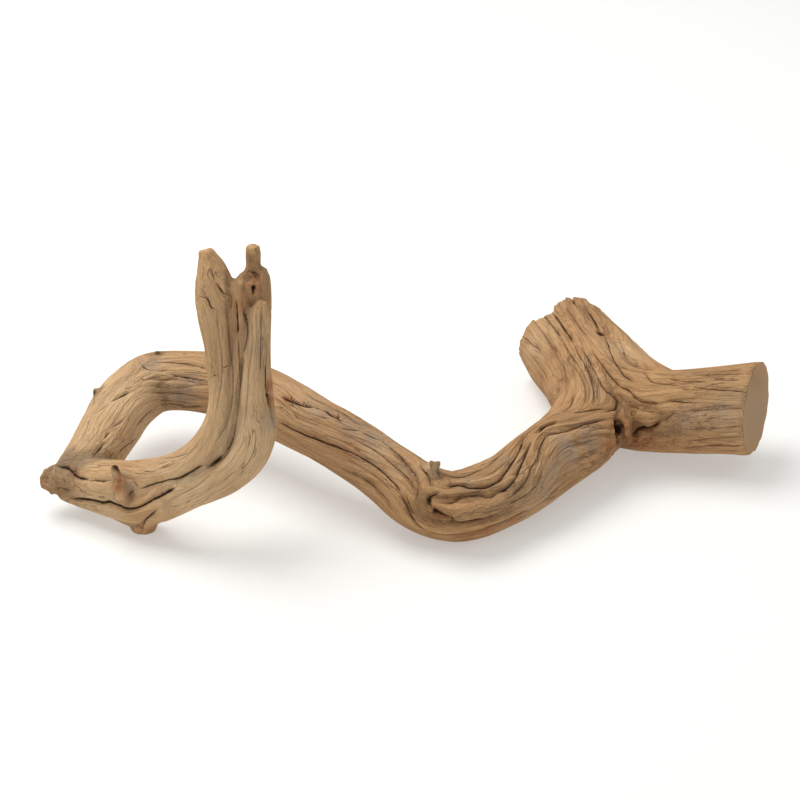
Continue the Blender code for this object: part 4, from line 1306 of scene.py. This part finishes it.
def along_grain(width, length, detail, shift=0.0):
    """Noise in streaks of this width and length in millimetres."""
    spread = add_node(tree, "Mapping", {
        "Vector": grain_place,
        "Location": (shift, shift, shift),
        "Scale": (1 / width, 1 / width, 1 / length),
    })
    return add_node(tree, "TexNoise", {"Vector": spread, "Scale": 1.0, "Detail": detail, "Roughness": 0.55})


bands = along_grain(3.0, 80.0, 2.0)
fine_bands = along_grain(1.2, 45.0, 3.0, 17.0)
fibres = along_grain(0.5, 7.0, 3.0, 31.0)
grit = add_node(tree, "TexNoise", {"Vector": grain_place, "Scale": 1.5, "Detail": 3.0})
print("streaks 3, 1.2 and 0.5 mm wide")

# %% Dark lines along the furrows, painted shade in their valleys
# Which furrows, how much of the wave the line takes up, and how dark it is.
FURROW_SHADE_LINES = (("wide_wave", 0.05, 0.6), ("middle_wave", 0.09, 0.45), ("fine_wave", 0.12, 0.3))
furrow_shade_lines = 0.0
for name, thin, strong in FURROW_SHADE_LINES:
    patches = along_grain(5.0, 22.0, 1.0, 100 * thin)
    here = add_node(tree, "MapRange", [patches, 0.40, 0.58, 0.15 * strong, strong], interpolation_type=SMOOTH)
    off_line = add_node(tree, "Math", [stored[name]], operation="ABSOLUTE")
    line = add_node(tree, "MapRange", [off_line, 0.3 * thin, thin, 1.0, 0.0], interpolation_type=SMOOTH)
    drawn = add_node(tree, "Math", [line, here], operation="MULTIPLY")
    furrow_shade_lines = add_node(tree, "Math", [drawn, furrow_shade_lines], operation="MAXIMUM")
deep_enough = add_node(tree, "MapRange", [stored["furrowed"], 0.3, 1.1, 0.25, 1.0], interpolation_type=EVEN)
furrow_shade_lines = add_node(tree, "Math", [furrow_shade_lines, deep_enough], operation="MULTIPLY")
print("dark lines in", len(FURROW_SHADE_LINES), "sizes of furrow")

# %% Hairlines
HAIR_THIN = 0.012
hair_wave = add_node(tree, "Math", [along_grain(2.2, 70.0, 2.0, 53.0), 0.5], operation="SUBTRACT")
off_hair = add_node(tree, "Math", [hair_wave], operation="ABSOLUTE")
hair_line = add_node(tree, "MapRange", [off_hair, 0.0, HAIR_THIN, 1.0, 0.0], interpolation_type=SMOOTH)
hair_patches = along_grain(7.0, 26.0, 1.0, 71.0)
hair_here = add_node(tree, "MapRange", [hair_patches, 0.48, 0.60, 0.0, 1.0], interpolation_type=SMOOTH)
hairs = add_node(tree, "Math", [hair_line, hair_here], operation="MULTIPLY")
print("hairlines about 0.1 mm wide")

# %% Dark checks
# A check's edge is ragged: its width swings by 30 % either way.
edge = along_grain(1.5, 6.0, 1.0, 91.0)
ragged = add_node(tree, "MapRange", [edge, 0.35, 0.65, 0.7, 1.3], interpolation_type=EVEN)
crack_width = add_node(tree, "Math", [ragged, stored["crack_wide"]], operation="MULTIPLY")
off_crack = add_node(tree, "Math", [stored["crack_side"]], operation="ABSOLUTE")
off_share = add_node(tree, "Math", [off_crack, crack_width], operation="DIVIDE")
crack_core = add_node(tree, "MapRange", [off_share, 0.35, 1.0, 1.0, 0.0], interpolation_type=SMOOTH)
close_by = add_node(tree, "MapRange", [stored["crack_gap"], 1.4, 2.1, 1.0, 0.0], interpolation_type=SMOOTH)
crack_tone = add_node(tree, "MapRange", [stored["crack_dark"], 0.0, 1.0, 0.1, 1.0], interpolation_type=EVEN)
cracks = add_node(tree, "Math", [crack_core, close_by], operation="MULTIPLY")
cracks = add_node(tree, "Math", [cracks, crack_tone], operation="MULTIPLY")
print("checks up to", round(2 * line_wide.max(), 1), "mm wide")

# %% Colour of the wood


def layered(colour, layers):
    """A colour with others laid over it, each as strongly as the value that drives it says."""
    for value, low, high, at_low, at_high, curve, tint in layers:
        amount = add_node(tree, "MapRange", [value, low, high, at_low, at_high], interpolation_type=curve)
        colour = add_node(tree, "Mix", {0: amount, 6: colour, 7: tint}, output=2, data_type="RGBA")
    return colour


blotch = add_node(tree, "TexNoise", {"Vector": grain_place, "Scale": 0.09, "Detail": 3.0})
blotch_here = add_node(tree, "MapRange", [blotch, 0.38, 0.58, 0.35, 1.0], interpolation_type=SMOOTH)
grey_here = add_node(tree, "Math", [stored["grey"], blotch_here], operation="MULTIPLY")
# What drives a layer, its lowest and highest value, how strong the layer is at each, and its colour.
colour = layered(DARK_BAND_AND_SHADE, [
    (bands, 0.38, 0.60, 0.0, 1.0, SMOOTH, BODY),
    (fine_bands, 0.50, 0.68, 0.0, 0.6, SMOOTH, BAND_PALE),
    (fine_bands, 0.32, 0.46, 0.35, 0.0, SMOOTH, DARK_BAND_AND_SHADE),
    # Sun bleaching, and painted light on the upright strands.
    (stored["pale"], 0.0, 1.0, 0.0, 0.8, EVEN, BLEACHED_AND_LIT),
    (stored["broad_hollow"], -0.5, 0.0, 0.35, 0.0, SMOOTH, BAND_PALE),
    # Damp grey, and painted shade at the arch's inner bend and the elbow.
    (grey_here, 0.0, 1.0, 0.0, 1.0, EVEN, DAMP_GREY_AND_SHADE),
    # Rot and resin, and painted shade in the crotch and under the belly.
    (stored["red"], 0.0, 1.0, 0.0, 0.8, EVEN, RED_ROT_AND_SHADE),
    # Painted shade: broad hollows are darkened.
    (stored["broad_hollow"], 0.3, 1.3, 0.0, 0.32, SMOOTH, DARK_BAND_AND_SHADE),
    # Painted shade: small hollows are darkened.
    (stored["fine_hollow"], 0.05, 0.25, 0.0, 0.22, SMOOTH, FURROW_SHADE),
    # Painted shade along the valleys of the furrows.
    (furrow_shade_lines, 0.0, 1.0, 0.0, 1.0, EVEN, FURROW_SHADE),
    (fibres, 0.34, 0.48, 0.3, 0.0, SMOOTH, DARK_BAND_AND_SHADE),
    (grit, 0.54, 0.66, 0.0, 0.35, SMOOTH, BAND_PALE),
    (hairs, 0.0, 1.0, 0.0, 0.5, EVEN, CREVICE),
    (cracks, 0.0, 1.0, 0.0, 0.92, EVEN, CREVICE),
    # Painted shade: holes are drawn near black.
    (stored["dark"], 0.1, 0.7, 0.0, 0.97, SMOOTH, CREVICE),
])
print("colour from", len(tree.nodes), "nodes")

# %% [markdown]
# ## The saw cut
# The stub was sawn off square when the wood was still sound, and the cut face has worn almost smooth since.
# It shows end grain: year rings about 1.5 mm apart round the heart. Rings are the distance from the heart
# line, run through a wave, and need no other texture.

# %% End grain
RING_WAVE = 4.2
across = add_node(tree, "SeparateXYZ", [grain_place], output="X")
above = add_node(tree, "SeparateXYZ", [grain_place], output="Y")
across_squared = add_node(tree, "Math", [across, across], operation="MULTIPLY")
above_squared = add_node(tree, "Math", [above, above], operation="MULTIPLY")
squared = add_node(tree, "Math", [across_squared, above_squared], operation="ADD")
radius = add_node(tree, "Math", [squared], operation="SQRT")
wobble = add_node(tree, "TexNoise", {"Vector": grain_place, "Scale": 0.12, "Detail": 2.0})
pushed_out = add_node(tree, "Math", [wobble, 5.0, radius], operation="MULTIPLY_ADD")
turns = add_node(tree, "Math", [pushed_out, RING_WAVE], operation="MULTIPLY")
rings = add_node(tree, "Math", [turns], operation="SINE")
cut_colour = layered(SAW_CUT, [
    (rings, -1.0, 1.0, 0.0, 0.22, SMOOTH, DARK_BAND_AND_SHADE),
    (grit, 0.35, 0.65, 0.0, 0.35, SMOOTH, DAMP_GREY_AND_SHADE),
    (radius, 12.0, 21.0, 0.0, 0.5, SMOOTH, BODY),
])
colour = add_node(tree, "Mix", {0: stored["sawn"], 6: colour, 7: cut_colour}, output=2, data_type="RGBA")
print("rings", round(2 * math.pi / RING_WAVE, 1), "mm apart")

# %% Relief too fine for the mesh
# What rises or sinks, its lowest and highest value, and by how many millimetres.
RELIEF = [
    (fibres, 0.25, 0.75, 0.25), (fine_bands, 0.25, 0.75, 0.9), (grit, 0.25, 0.75, 0.25),
    (hairs, 0.0, 1.0, -0.5), (cracks, 0.0, 1.0, -1.0),
]
relief = 0.0
for value, low, high, height in RELIEF:
    raised = add_node(tree, "MapRange", [value, low, high, 0.0, height], interpolation_type=EVEN)
    relief = add_node(tree, "Math", [raised, relief], operation="ADD")
flat_relief = add_node(tree, "Math", [grit, 0.12], operation="MULTIPLY")
relief = add_node(tree, "Mix", {0: stored["sawn"], 2: relief, 3: flat_relief}, data_type="FLOAT")
bump = add_node(tree, "Bump", {"Strength": 1.0, "Distance": MM, "Height": relief})
shader = add_node(tree, "BsdfPrincipled", {
    "Base Color": colour, "Normal": bump, "Roughness": 0.88, "IOR": 1.5, "Metallic": 0.0,
    "Specular IOR Level": 0.25,
})
add_node(tree, "OutputMaterial", {"Surface": shader})
print("relief from", len(RELIEF), "patterns")

# %% [markdown]
# ## The table top
# The photograph's floor is so evenly lit that it is almost white, and its shadows are pale. A matt acrylic
# sheet with a faint light below does that, as on a product table. Plain paper would give darker shadows.
# Plain paper was tried, and its shadows came out too dark. Any gloss would mirror the wood, which the
# photograph doesn't show.

# %% Floor finish
GLOW = 0.34
acrylic = bpy.data.materials.new("matt_white_acrylic")
acrylic.use_nodes = True
floor_tree = acrylic.node_tree
floor_shader = floor_tree.nodes["Principled BSDF"]
speckle = add_node(floor_tree, "TexNoise", {"Scale": 900.0, "Detail": 2.0})
floor_colour = add_node(
    floor_tree, "Mix", {0: speckle, 6: linear("#CACAC7"), 7: linear("#CDCDCA")}, output=2, data_type="RGBA"
)
floor_tree.links.new(floor_colour, floor_shader.inputs["Base Color"])
floor_shader.inputs["Roughness"].default_value = 0.95
floor_shader.inputs["Emission Color"].default_value = linear("#FFFFFC")
floor_shader.inputs["Emission Strength"].default_value = GLOW
floor.data.materials.append(acrylic)
print("floor:", acrylic.name)
